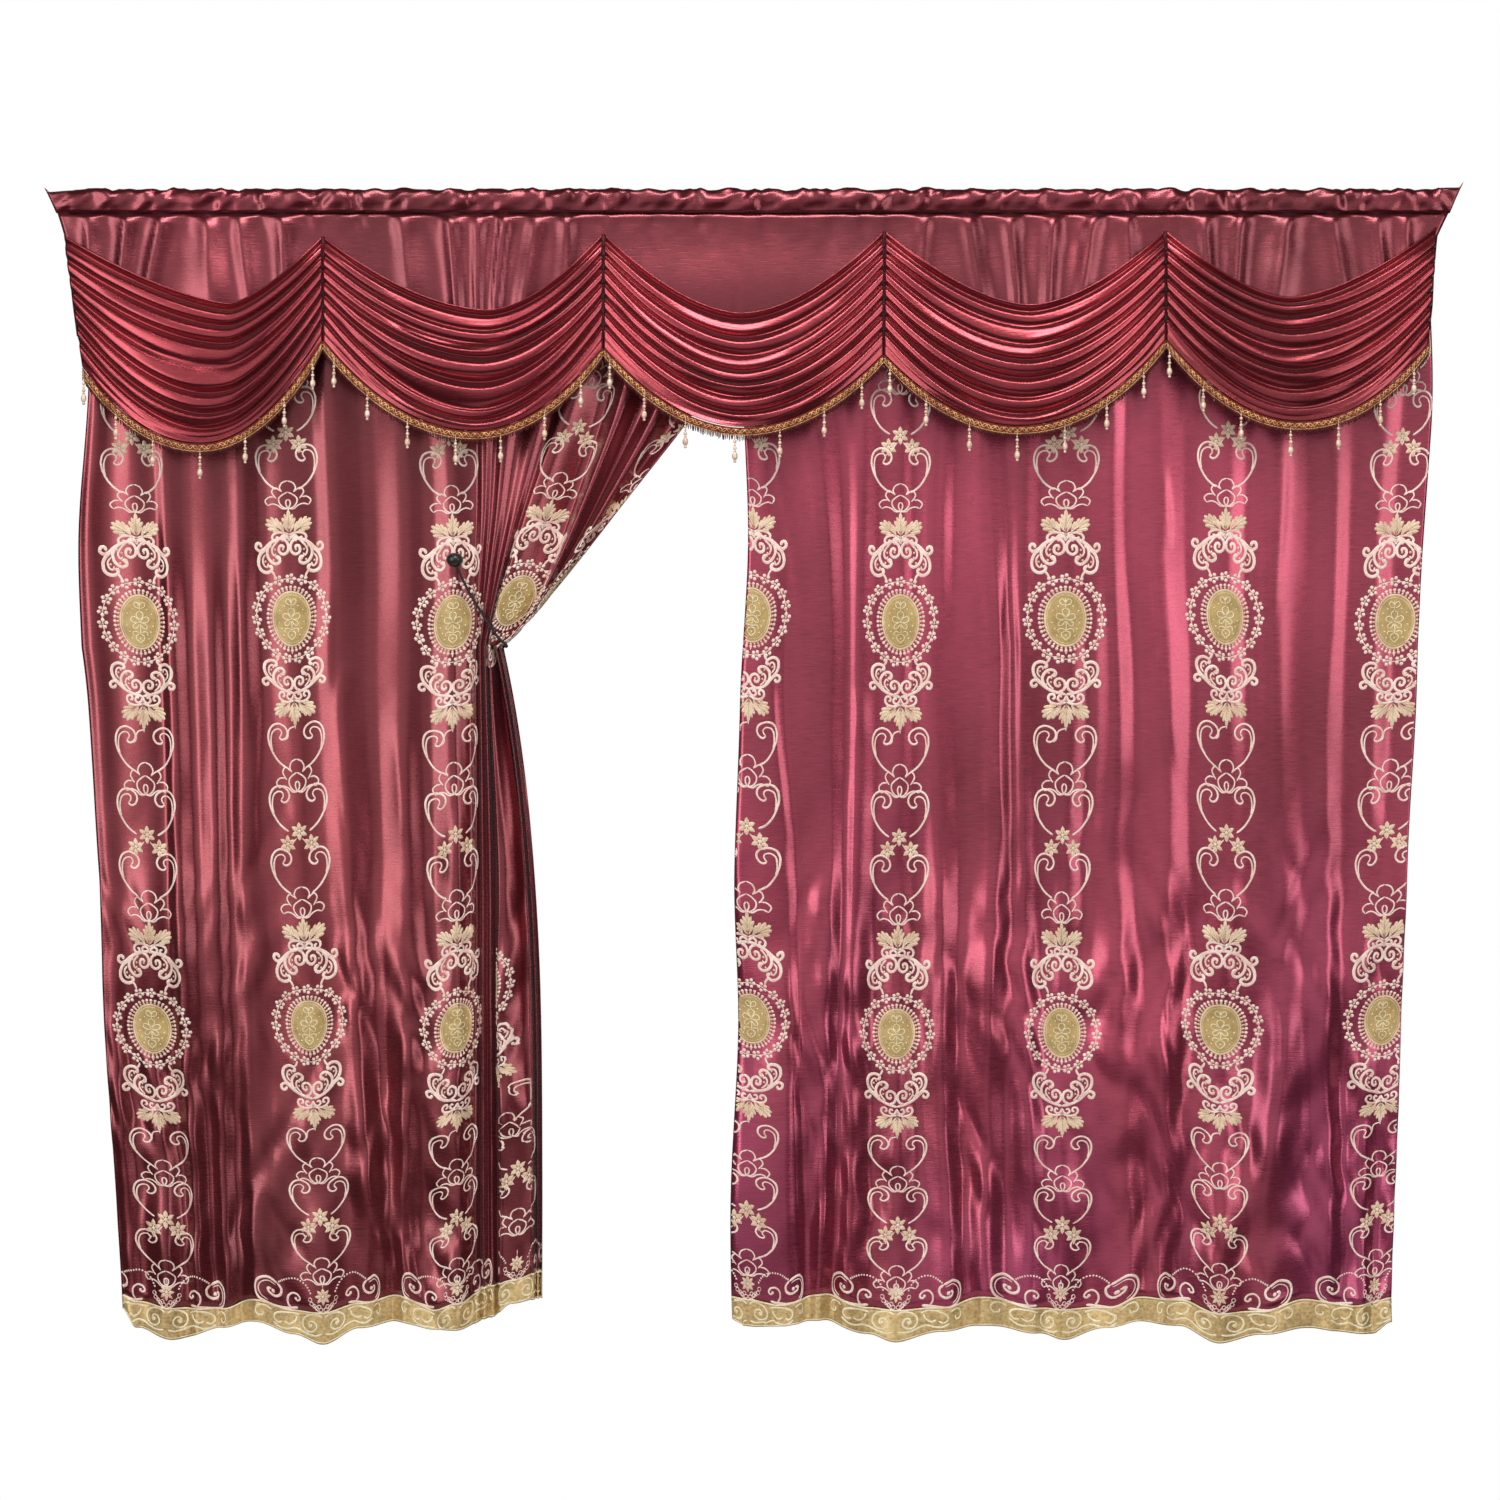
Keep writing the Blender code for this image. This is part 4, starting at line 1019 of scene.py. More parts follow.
# %% Fold and hem tables
BROW_Z = -490 * MM
TIE_Z = -918 * MM
SEAM_FOLD = 0.12
HEM_GAP = 0.9 * MM
HANGING_BROW_DEEP = 0.24
HANGING_DEEP = 0.30
HANGING_FOOT_DEEP = 0.58
DRAWN_SETTLE = 2.0
SWEPT_SETTLE = 2.5
DRAWN_BROW_DEEP = 0.66
DRAWN_TIE_DEEP = 0.80
DRAWN_FOOT_DEEP = 0.80
FOLD_COLUMNS = ("seam_x", "brow_x", "tie_x", "foot_x", "brow_y", "tie_y", "foot_y", "bow", "settle")
PLAIN_COLUMNS = ("bow", "settle")
LEFT_FOLDS = (
    (-1338, -1344, -1352, -1270, 4, 6, 4, 1.0, 1.3),
    (-1314, -1328, -1328, -1250, -10, -8, -8, 1.0, 1.2),
    (-1286, -1294, -1290, -1224, 10, 10, 12, 1.0, 1.1),
    (-1250, -1254, -1234, -1178, -8, -6, -8, 1.0, 1.0),
    (-1214, -1214, -1200, -1142, 10, 12, 14, 1.0, 1.0),
    (-1188, -1190, -1174, -1114, -13, -14, -12, 1.0, 1.0),
    (-1142, -1142, -1134, -1082, 12, 14, 10, 1.0, 1.0),
    (-1098, -1096, -1092, -1058, -8, -12, -14, 1.0, 1.0),
    (-1066, -1066, -1062, -1032, 10, 10, 14, 1.0, 1.0),
    (-1034, -1032, -1028, -1000, -14, -14, -12, 1.0, 1.0),
    (-986, -986, -982, -942, 12, 10, 14, 1.0, 1.0),
    (-938, -938, -924, -868, -6, -6, -10, 1.0, 1.0),
    (-894, -894, -882, -816, 8, 8, 10, 1.0, 1.0),
    (-856, -856, -838, -768, -12, -14, -12, 1.0, 1.0),
    (-778, -774, -762, -728, 14, 14, 14, 1.0, 1.0),
    (-710, -704, -698, -694, -10, -14, -14, 1.0, 1.0),
    (-662, -662, -656, -654, 10, 12, 12, 1.0, 1.0),
    (-612, -614, -606, -590, -14, -15, -16, 1.0, 1.0),
    (-534, -556, -572, -566, 22, 20, 20, 1.0, 1.0),
    (-504, -536, -560, -556, -10, -12, -4, 1.0, 2.1),
    (-476, -514, -555, -548, 10, -3, 12, 1.0, 2.1),
    (-448, -494, -550, -541, -12, -15, -6, 1.0, 2.1),
    (-416, -466, -545, -533, 10, -5, 10, 1.05, 2.1),
    (-382, -436, -540, -524, -12, -17, 2, 1.1, 2.1),
    (-354, -414, -535, -516, 4, 16, 20, 1.15, 2.1),
    (-330, -396, -530, -508, -14, -18, -14, 1.2, 2.4),
    (-250, -316, -521, -448, 18, 14, -4, 0.60, 3.6),
    (-206, -282, -517, -443, -20, -18, -12, 0.66, 3.6),
    (-160, -246, -513, -438, 20, -6, 8, 0.72, 3.6),
    (-114, -212, -510, -434, -18, -16, -4, 0.78, 3.6),
    (-70, -180, -506, -430, 14, -4, 10, 0.84, 3.6),
    (-30, -150, -503, -425, -6, 0, -4, 0.90, 3.6),
)
RIGHT_FOLDS = (
    (-20, -20, -24, -51, 4, 5, 4, 1.0, 1.0),
    (12, 12, 40, 86, -10, -12, -12, 1.0, 1.0),
    (44, 62, 66, 106, 10, 10, 10, 1.0, 1.0),
    (120, 118, 150, 130, -13, -14, -14, 1.0, 1.0),
    (176, 178, 182, 158, 14, 10, 12, 1.0, 1.0),
    (212, 216, 200, 186, -10, -12, -13, 1.0, 1.0),
    (256, 256, 246, 234, 8, 9, 10, 1.0, 1.0),
    (292, 292, 290, 280, -5, -6, -8, 1.0, 1.0),
    (322, 322, 322, 326, 9, 8, 10, 1.0, 1.0),
    (356, 350, 356, 380, -13, -14, -12, 1.0, 1.0),
    (412, 412, 412, 418, 14, 14, 12, 1.0, 1.0),
    (456, 460, 490, 452, -14, -14, -12, 1.0, 1.0),
    (500, 500, 520, 500, 9, 9, 10, 1.0, 1.0),
    (546, 540, 536, 548, -11, -10, -10, 1.0, 1.0),
    (586, 582, 578, 580, 9, 10, 11, 1.0, 1.0),
    (626, 622, 618, 610, -6, -6, -9, 1.0, 1.0),
    (664, 662, 664, 668, 11, 12, 11, 1.0, 1.0),
    (698, 702, 716, 744, -13, -13, -13, 1.0, 1.0),
    (742, 742, 762, 782, 9, 9, 9, 1.0, 1.0),
    (780, 792, 824, 812, -13, -13, -12, 1.0, 1.0),
    (872, 876, 876, 862, 14, 14, 13, 1.0, 1.0),
    (952, 950, 942, 930, -6, -7, -9, 1.0, 1.0),
    (1000, 998, 992, 984, 10, 11, 11, 1.0, 1.0),
    (1044, 1042, 1046, 1034, -14, -14, -13, 1.0, 1.0),
    (1124, 1122, 1110, 1104, 8, 9, 9, 1.0, 1.0),
    (1160, 1160, 1150, 1140, -5, -6, -7, 1.0, 1.0),
    (1204, 1200, 1184, 1172, 14, 14, 13, 1.0, 1.0),
    (1250, 1248, 1232, 1206, -12, -12, -11, 1.0, 1.0),
    (1296, 1292, 1278, 1236, 9, 9, 10, 1.0, 1.0),
    (1346, 1352, 1322, 1270, -3, -3, -4, 1.0, 1.0),
)
HEM_COLUMNS = ("x", "top_z", "foot_z")
LEFT_HEM = (
    (-1270, -2216, -2242),
    (-1240, -2228, -2280),
    (-1162, -2240, -2303),
    (-1070, -2242, -2280),
    (-1004, -2222, -2266),
    (-930, -2244, -2292),
    (-870, -2248, -2312),
    (-796, -2230, -2280),
    (-708, -2216, -2268),
    (-636, -2244, -2283),
    (-590, -2230, -2283),
    (-530, -2196, -2260),
    (-486, -2184, -2231),
    (-424, -2166, -2220),
)
RIGHT_HEM = (
    (-52, -2216, -2262),
    (-20, -2222, -2278),
    (50, -2234, -2276),
    (137, -2212, -2264),
    (230, -2240, -2293),
    (280, -2244, -2307),
    (370, -2238, -2286),
    (452, -2216, -2273),
    (558, -2240, -2290),
    (622, -2244, -2304),
    (710, -2240, -2280),
    (768, -2218, -2266),
    (858, -2226, -2278),
    (932, -2250, -2310),
    (1010, -2246, -2292),
    (1094, -2224, -2281),
    (1192, -2236, -2290),
    (1232, -2230, -2291),
    (1270, -2220, -2268),
)
print("folds:", len(LEFT_FOLDS), "lines on the left and", len(RIGHT_FOLDS), "on the right")

# %% [markdown]
# ## Creases
#
# Satin that was packed flat keeps thin upright creases beside its folds, and short slanting ones
# where it was carried. Each catches its own streak of light. The table has one row for each: a
# soft line through three places on the cloth's front, its half width and how far it stands out.

# %% Crease tables
# x and z of three places, half width and height
LEFT_CREASES = (
    (-1330, -560, -1326, -640, -1326, -720, 9, 2.0),
    (-1192, -660, -1174, -800, -1174, -980, 10, 3.0),
    (-1178, -1140, -1166, -1250, -1152, -1400, 9, 3.0),
    (-1152, -1360, -1168, -1420, -1150, -1570, 8, 2.5),
    (-1110, -1120, -1108, -1500, -1092, -1960, 12, 3.0),
    (-1032, -750, -1028, -860, -1030, -1100, 8, 2.0),
    (-996, -1020, -1002, -1200, -998, -1400, 7, 2.0),
    (-1006, -1485, -996, -1500, -978, -1488, 7, 2.5),
    (-1026, -1520, -1020, -1740, -1016, -2000, 8, 2.2),
    (-964, -1700, -960, -1900, -962, -2160, 8, 2.0),
    (-846, -780, -850, -900, -848, -1000, 9, 2.0),
    (-818, -950, -826, -1070, -800, -1340, 10, 3.0),
    (-810, -1400, -786, -1520, -780, -1660, 9, 2.5),
    (-712, -1080, -690, -1340, -708, -1600, 13, 3.0),
    (-656, -500, -658, -1000, -654, -1700, 6, 1.5),
    (-700, -1850, -694, -1950, -688, -2060, 8, 2.2),
    (-600, -1470, -580, -1490, -566, -1540, 7, 2.5),
    (-1272, -1700, -1262, -1850, -1250, -2050, 9, 2.2),
    (-904, -1050, -910, -1300, -900, -1500, 10, 1.6),
    (-918, -600, -912, -760, -914, -900, 9, 1.6),
)
RIGHT_CREASES = (
    (14, -480, 12, -600, 14, -720, 8, 2.0),
    (38, -540, 72, -750, 96, -900, 8, 2.6),
    (28, -900, 44, -1080, 60, -1310, 8, 2.5),
    (196, -1000, 200, -1060, 196, -1100, 7, 2.0),
    (186, -1540, 178, -1700, 170, -1950, 12, 3.0),
    (382, -480, 378, -680, 376, -920, 8, 2.2),
    (350, -1180, 368, -1400, 372, -1550, 9, 2.6),
    (376, -1540, 380, -1640, 376, -1730, 8, 2.5),
    (494, -480, 504, -720, 484, -960, 8, 2.4),
    (484, -960, 492, -1240, 502, -1430, 9, 2.8),
    (506, -1430, 472, -1570, 470, -1770, 9, 2.8),
    (558, -1470, 520, -1540, 480, -1600, 8, 2.6),
    (538, -1620, 510, -1670, 488, -1720, 8, 2.6),
    (796, -620, 812, -920, 846, -1160, 9, 2.6),
    (818, -560, 826, -640, 832, -720, 8, 2.2),
    (884, -1460, 840, -1560, 794, -1700, 10, 3.0),
    (1064, -480, 1060, -640, 1040, -860, 9, 2.4),
    (986, -1456, 1014, -1500, 1042, -1550, 8, 2.6),
    (1070, -1490, 1054, -1530, 1042, -1550, 8, 2.6),
    (1042, -1620, 1058, -1700, 1040, -1950, 9, 2.8),
    (126, -1400, 112, -1500, 90, -1560, 8, 2.2),
    (730, -1650, 700, -1740, 690, -1850, 9, 2.2),
    (930, -1500, 960, -1640, 950, -1760, 10, 2.2),
    (640, -1980, 660, -2060, 650, -2150, 10, 2.2),
    (1150, -900, 1140, -1100, 1146, -1300, 9, 1.8),
    (890, -700, 900, -900, 896, -1150, 10, 1.6),
)
CREASE_PARTS = 7
CREASE_LONG_SIDE = 2.8
CREASE_SHARP_SIDE = 1.0
CREASE_ENDS = 0.6
FAR = 9.0


def creases(x, z, rows):
    """How far the creases lift the cloth at x, z of its front; they slope off right and left by turns."""
    height = np.zeros(x.shape)
    for number, (x0, z0, x1, z1, x2, z2, wide, out) in enumerate(np.array(rows) * MM):
        line = curve_through([(x0, z0), (x1, z1), (x2, z2)], CREASE_PARTS + 1)
        long_side = 1.0 if number % 2 else -1.0
        nearest = np.full(x.shape, FAR)
        share = np.zeros(x.shape)
        beside = np.zeros(x.shape)
        for i, (a, b) in enumerate(zip(line, line[1:])):
            way = b - a
            along = np.clip(((x - a[0]) * way[0] + (z - a[1]) * way[1]) / (way @ way), 0.0, 1.0)
            apart = np.hypot(x - a[0] - along * way[0], z - a[1] - along * way[1])
            closer = apart < nearest
            share = np.where(closer, (i + along) / CREASE_PARTS, share)
            nearest = np.where(closer, apart, nearest)
            beside = np.where(closer, (x - a[0]) * long_side, beside)
        reach = wide * np.where(beside > 0.0, CREASE_LONG_SIDE, CREASE_SHARP_SIDE)
        height += out * np.exp(-((nearest / reach) ** 2)) * np.sin(math.pi * share) ** CREASE_ENDS
    return height


print("creases:", len(LEFT_CREASES) + len(RIGHT_CREASES))

# %% [markdown]
# ## One curtain as a grid
#
# A curtain could be draped by simulation, but its folds would then fall wherever they liked. A
# grid made from the fold table keeps them. Its columns are close together in the cloth, not in
# the picture, and its rows lie at equal depths of the flat cloth, so a motif that is sewn at one
# depth stays level however the cloth is drawn aside. The same grid carries on into the gold
# border, and it also says where every stitch goes.

# %% The curtain grid
COLUMN_STEP = 5.6 * MM
COLUMNS_PER_FOLD = (5, 16)
DEPTH_COUNTED = 1.15
DENSE_POINTS = 800
FLAT_LEVELS = 260
PANEL_ROWS = 146
BORDER_ROWS = 9
THROAT_SHARE = 0.405
THROAT_WIDE = 0.035
THROAT_DENSE = 1.6
CLOTH_REACH = 0.200
ASIDE_REACH = 0.110
ASIDE_STEP = 0.002
ROW_SMOOTHING = 7
FLANK_SHARE = 0.55
FLANK_STEEP = 1.5
FOLD_WANDER = 9.0 * MM
FOLD_FADE = 0.7


def flank(part):
    """From one fold line to the next: nearly level beside each, and an even slope between."""
    slope = np.clip((part - 0.5) * FLANK_STEEP + 0.5, 0.0, 1.0)
    return (1.0 - FLANK_SHARE) * smooth(part) + FLANK_SHARE * slope


def fold_point(fold, k, z, foot_z):
    """Where the fold lines k pass the levels z, as x and y."""
    seam, brow, tie, foot, brow_y, tie_y, foot_y, bow, settle = (fold[n][k] for n in FOLD_COLUMNS)
    drawn = settle > DRAWN_SETTLE
    swept = settle > SWEPT_SETTLE
    brow_y = brow_y * np.where(swept, 1.0, np.where(drawn, DRAWN_BROW_DEEP, HANGING_BROW_DEEP))
    tie_y = tie_y * np.where(swept, 1.0, np.where(drawn, DRAWN_TIE_DEEP, HANGING_DEEP))
    foot_y = foot_y * np.where(swept, 1.0, np.where(drawn, DRAWN_FOOT_DEEP, HANGING_FOOT_DEEP))
    upper = np.clip((SEAM_Z - z) / (SEAM_Z - BROW_Z), 0.0, 1.0)
    middle = np.clip((z - TIE_Z) / (BROW_Z - TIE_Z), 0.0, 1.0)
    lower = np.clip((TIE_Z - z) / (TIE_Z - foot_z), 0.0, 1.0)
    reach = bow * (brow - tie) * (SEAM_Z - BROW_Z) / (TIE_Z - BROW_Z)
    seam_y = PANEL_SEAM_Y + SEAM_FOLD * brow_y
    x_upper = seam + (brow - seam) * smooth(upper) + reach * upper * upper * (upper - 1.0)
    x_middle = tie + (brow - tie) * middle ** bow
    x_lower = tie + (foot - tie) * (1.0 - (1.0 - lower) ** settle)
    y_upper = seam_y + (brow_y - seam_y) * smooth(upper)
    y_middle = tie_y + (brow_y - tie_y) * smooth(middle)
    y_lower = tie_y + (foot_y - tie_y) * smooth(lower)
    x = np.where(z > BROW_Z, x_upper, np.where(z > TIE_Z, x_middle, x_lower))
    y = np.where(z > BROW_Z, y_upper, np.where(z > TIE_Z, y_middle, y_lower))
    return x, y


print("fold lines: ready")

# %% [markdown]
# ## The relief of the cloth
#
# On the grid come the creases and a finer unevenness, which is seeded and has knots of several
# sizes. Above, the cloth is nearly smooth. Below it is crumpled, and its slanting crumples cross
# each other. Where the cloth is drawn close together there is no room for any of this, so it
# fades out there.

# %% The curtain as an object
BORDER_DEEP = 50 * MM
CALM_SPACING = 0.55
LOW_FROM, LOW_OVER = 1.0, 0.7
FOOT_FROM, FOOT_OVER = 1.05, 0.5
GATHER_HIGH = 3.0 * MM
GATHER_FADE = 100 * MM
GATHER_KNOT = (0.013, 0.110)
FADE_KNOT = (0.090, 0.300)
WANDER_KNOT = (0.120, 0.330)
GATHER_SEED, WANDER_SEED, FADE_SEED = 4, 6, 7
SEWN_TOP = 12 * MM
# kind, lean, width and length of a knot, seed after the curtain's own, and the height in
# millimetres: all over, more of it low down, and more of it near the foot
UNEVENNESS = (
    (crumple, 0.0, 0.110, 0.620, 0, 1.3, 0.0, 0.0),
    (rumple, 0.0, 0.200, 0.600, 1, 5.0, 0.0, 0.0),
    (crumple, 0.5, 0.060, 0.170, 2, 0.15, 3.4, 0.0),
    (crumple, -0.45, 0.052, 0.140, 3, 0.15, 3.4, 0.0),
    (rumple, 0.0, 0.024, 0.040, 5, 0.0, 0.5, 0.0),
    (rumple, 0.32, 0.130, 0.420, 8, 0.0, 0.0, 12.0),
    (rumple, -0.27, 0.115, 0.380, 9, 0.0, 0.0, 12.0),
)


class Curtain:
    """One curtain's cloth and border as a grid, and the way to lay stitches on it."""

    def __init__(self, folds, hem, crease_rows, seed):
        fold, edge = table(folds, FOLD_COLUMNS, PLAIN_COLUMNS), table(hem, HEM_COLUMNS)
        wide = np.hypot(np.diff(fold["brow_x"]), DEPTH_COUNTED * np.diff(fold["brow_y"]))
        steps = np.clip(np.round(wide / COLUMN_STEP), *COLUMNS_PER_FOLD).astype(int)
        fold_of = [k + i / count for k, count in enumerate(steps) for i in range(count)]
        self.fold_of = np.array(fold_of + [len(folds) - 1.0])
        k = np.minimum(self.fold_of.astype(int), len(folds) - 2)
        part = self.fold_of - k
        foot_x = fold["foot_x"][k] * (1.0 - part) + fold["foot_x"][k + 1] * part
        top, foot = (eased(foot_x, edge["x"], edge[name]) for name in ("top_z", "foot_z"))
        level = np.linspace(0.0, 2.0, 2 * FLAT_LEVELS + 1)[:, None]
        above = SEAM_Z + (TIE_Z - SEAM_Z) * level
        z = np.where(level <= 1.0, above, TIE_Z + (top - TIE_Z) * (level - 1.0))
        x_a, y_a = fold_point(fold, k, z, top)
        x_b, y_b = fold_point(fold, k + 1, z, top)
        dense = np.stack([x_a + (x_b - x_a) * part, y_a + (y_b - y_a) * flank(part), z], -1)
        down = lengths(np.swapaxes(dense, 0, 1)).T
        self.flat_long = float(down[-1].mean())
        share = np.linspace(0.0, 1.0, DENSE_POINTS)
        density = 1.0 + THROAT_DENSE * np.exp(-(((share - THROAT_SHARE) / THROAT_WIDE) ** 2))
        spent = np.cumsum(density) - density[0]
        rows = np.interp(np.linspace(0.0, spent[-1], PANEL_ROWS), spent, share)
        panel = np.empty((PANEL_ROWS, len(k), 3))
        for column in range(len(k)):
            for axis in range(3):
                line = dense[:, column, axis]
                panel[:, column, axis] = np.interp(rows * down[-1, column], down[:, column], line)
        band = np.linspace(0.0, 1.0, BORDER_ROWS)[:, None]
        border_z = (top - HEM_GAP) * (1.0 - band) + foot * band
        flat_edge = np.broadcast_to(panel[-1, :, :2], (BORDER_ROWS, len(k), 2))
        border = np.concatenate([flat_edge, border_z[:, :, None]], -1)
        self.band_deep = top - HEM_GAP - foot
        self.deep = rows * self.flat_long
        self.grid = np.concatenate([panel, border])
        self.across = lengths(self.grid)
        self.flat_wide = float(self.across[:PANEL_ROWS, -1].mean())
        self.relieve(crease_rows, seed)
        self.find_normals()

    def relieve(self, crease_rows, seed):
        """Add creases and fine unevenness, calmer where the cloth is drawn together."""
        below = self.flat_long + np.linspace(0.0, BORDER_DEEP, BORDER_ROWS)
        deep = np.concatenate([self.deep, below])[:, None]
        aside = self.across.mean(axis=0)[None, :] * np.ones_like(deep)
        x, z = self.grid[..., 0], self.grid[..., 2]
        calm = smooth(np.abs(np.gradient(x, axis=1)) / COLUMN_STEP / CALM_SPACING)
        low = smooth((deep - LOW_FROM) / LOW_OVER)
        near_foot = smooth((deep - FOOT_FROM) / FOOT_OVER)
        height = creases(x, z, crease_rows)
        for kind, lean, wide, tall, more, high, lower, lowest in UNEVENNESS:
            made = kind(aside + lean * deep, deep, wide, tall, seed + more)
            height = height + made * (high + lower * low + lowest * near_foot) * MM
        gather = rumple(aside, deep, *GATHER_KNOT, seed + GATHER_SEED) * GATHER_HIGH
        gather = gather * np.exp(-deep / GATHER_FADE)
        free = calm * smooth(deep / SEWN_TOP)
        fade = 1.0 + FOLD_FADE * rumple(aside, deep, *FADE_KNOT, seed + FADE_SEED) * free
        away = height * free + gather * smooth(deep / SEWN_TOP)
        self.grid[..., 1] = self.grid[..., 1] * fade - away
        self.grid[..., 0] += rumple(aside, deep, *WANDER_KNOT, seed + WANDER_SEED) * FOLD_WANDER * free

    def find_normals(self):
        """Which way the front of the cloth faces at each point."""
        self.normal = unit(np.cross(np.gradient(self.grid, axis=0), np.gradient(self.grid, axis=1)))

    def sew_from(self, fold_number):
        """For each row and each step aside from a fold line, the grid column that lies there."""
        columns = np.arange(len(self.fold_of))
        start = np.interp(fold_number, self.fold_of, columns)
        offsets = np.arange(-ASIDE_REACH, ASIDE_REACH + ASIDE_STEP / 2, ASIDE_STEP)
        margin = CLOTH_REACH / COLUMN_STEP
        reach = []
        for run in self.across:
            places = np.concatenate([[-CLOTH_REACH], run, [run[-1] + CLOTH_REACH]])
            found = np.concatenate([[-margin], columns, [columns[-1] + margin]])
            reach.append(np.interp(np.interp(start, columns, run) + offsets, places, found))
        reach = np.array(reach)
        half = ROW_SMOOTHING // 2
        padded = np.pad(reach, ((half, half), (0, 0)), mode="edge")
        return sum(padded[i:i + len(reach)] for i in range(ROW_SMOOTHING)) / ROW_SMOOTHING

    def spot(self, row, column, lift):
        """A point over the cloth at fractions of the grid; NaN past the cloth's edge."""
        rows, columns = self.grid.shape[:2]
        outside = (column < 0.0) | (column > columns - 1.0) | (row < 0.0) | (row > rows - 1.0)
        i = np.clip(np.floor(row), 0, rows - 2).astype(int)
        j = np.clip(np.floor(column), 0, columns - 2).astype(int)
        a, b = (row - i)[..., None], (column - j)[..., None]
        found = []
        for field in (self.grid, self.normal):
            upper = field[i, j] * (1.0 - b) + field[i, j + 1] * b
            lower = field[i + 1, j] * (1.0 - b) + field[i + 1, j + 1] * b
            found.append(upper * (1.0 - a) + lower * a)
        point = found[0] + found[1] * np.asarray(lift)[..., None]
        point[outside] = np.nan
        return point


left_curtain = Curtain(LEFT_FOLDS, LEFT_HEM, LEFT_CREASES, 71)
right_curtain = Curtain(RIGHT_FOLDS, RIGHT_HEM, RIGHT_CREASES, 81)
for side_name, curtain in (("left", left_curtain), ("right", right_curtain)):
    size = (round(curtain.flat_wide, 3), round(curtain.flat_long, 3))
    print(side_name, "curtain: flat", size, "grid", curtain.grid.shape[:2])

# %% [markdown]
# ## Border satin and embroidery thread
#
# The border is a gold satin with a close figured weave. The embroidery is worked in thick shiny
# rayon: pinkish cream for the outlines, warmer cream for leaves and flowers, and flat gold
# fill in the ovals. Rayon is smooth and bright, so its roughness is low and its bump is a fine
# ribbing, which is how satin stitch looks when its threads lie side by side.

# %% Border and thread materials
def figured_gold(name, deep, bright):
    """Gold satin with a small woven figure."""
    material, look = new_look(name)
    slub = look.noise(90.0, 90.0, 900.0)
    figure = look.node(
        "ShaderNodeTexVoronoi",
        {"feature": "SMOOTH_F1"},
        {"Vector": look.place(150.0, 150.0, 150.0), "Scale": 1.0, "Smoothness": 0.6},
    )
    shade = slub * 0.35 + figure * 0.25 + look.noise(14.0, 14.0, 9.0) * 0.4
    colour = look.mixed(look.stretched(shade, 0.30, 0.62), deep, bright)
    weave = (0.5, 0.6 * MM, slub * 0.5 + figure * 0.5)
    look.paint(colour, figure * 0.12 + slub * 0.1 + 0.30, weave, {"Metallic": 0.35})
    return material


def thread_look(name, dark, light, metal=0.1, rough=0.30):
    """Shiny embroidery thread, ribbed by the stitches that lie side by side."""
    material, look = new_look(name)
    stitches = look.noise(500.0, 500.0, 900.0, 1.0)
    drift = look.noise(40.0, 40.0, 40.0)
    colour = look.mixed(look.stretched(stitches * 0.6 + drift * 0.4, 0.34, 0.62), dark, light)
    look.paint(colour, stitches * 0.25 + rough, (0.6, 0.5 * MM, stitches), {"Metallic": metal})
    return material


border_gold = figured_gold("border_gold", screen(0.57, 0.45, 0.27), screen(0.88, 0.76, 0.53))
outline_thread = thread_look("outline_thread", screen(0.86, 0.68, 0.62), screen(1.0, 0.93, 0.88))
leaf_thread = thread_look("leaf_thread", screen(0.76, 0.61, 0.48), screen(0.96, 0.87, 0.75))
oval_gold = thread_look("oval_gold", screen(0.58, 0.47, 0.27), screen(0.80, 0.68, 0.44), 0.15, 0.36)
tone_thread = thread_look("tone_thread", screen(0.84, 0.75, 0.56), screen(1.0, 0.96, 0.83), 0.1, 0.28)
OUTLINE, LEAF, OVAL, TONE = range(4)
threads = [outline_thread, leaf_thread, oval_gold, tone_thread]
print("threads:", len(threads))

# %% [markdown]
# ## The curtains and their borders
#
# The upper rows of a grid are the curtain and the lower ones its gold band. They are two cloths
# sewn together, so they are two pieces, with a narrow gap that the piping covers.

# %% Curtain and border pieces
curtains = {}
for side_name, curtain, look in (
    ("left", left_curtain, left_satin),
    ("right", right_curtain, right_satin),
):
    panel = cloth(f"{side_name}_curtain_cloth", curtain.grid[:PANEL_ROWS], look)
    settle(panel, "panel_satin", f"{side_name}_panel")
    band = cloth(f"{side_name}_gold_band", curtain.grid[PANEL_ROWS:], border_gold, 1.2 * MM)
    settle(band, "border_gold", f"{side_name}_border")
    curtains[side_name] = (curtain, panel, band)

# %% [markdown]
# ## How stitches are laid on folded cloth
#
# The embroidery was sewn before the cloth was gathered, so its motifs bend with the folds. A
# motif is drawn flat, in millimetres aside from its column and down from its top, and each of
# its points is then looked up on the curtain's grid. A line of satin stitch is a strip three
# points wide whose edges sink into the cloth and whose middle stands up. Petals and leaves are
# the same strip with a swelling width, and dots are little domes. Stitches past the cloth's edge
# are left out. Where a column slips to another fold low down, the slip depths say how it goes over.

# %% The needle
ASIDE_EASE = 0.975
SUNK = 0.20 * MM
STITCH_HIGH = 2.0 * MM
STITCH_STEP = 4.2 * MM
LINE_END = 0.45
LOBE_PARTS = (0.0, 0.35, 0.68, 0.88, 1.0)
LOBE_WIDTHS = (0.30, 0.72, 1.0, 0.84, 0.30)
LOBE_HIGH = 2.4 * MM
PETAL_STEPS = 4
PETAL_START = 0.18
FLOWER_KNOT = 0.24
BAND_LIMIT = 1.02
SHIFT_DEPTHS = (800.0, 1630.0)
SLIP_DEPTHS = (1.20, 1.22, 1.66, 1.94)
SLIP_SHARES = (1.0, 0.0, 0.0, 1.0)


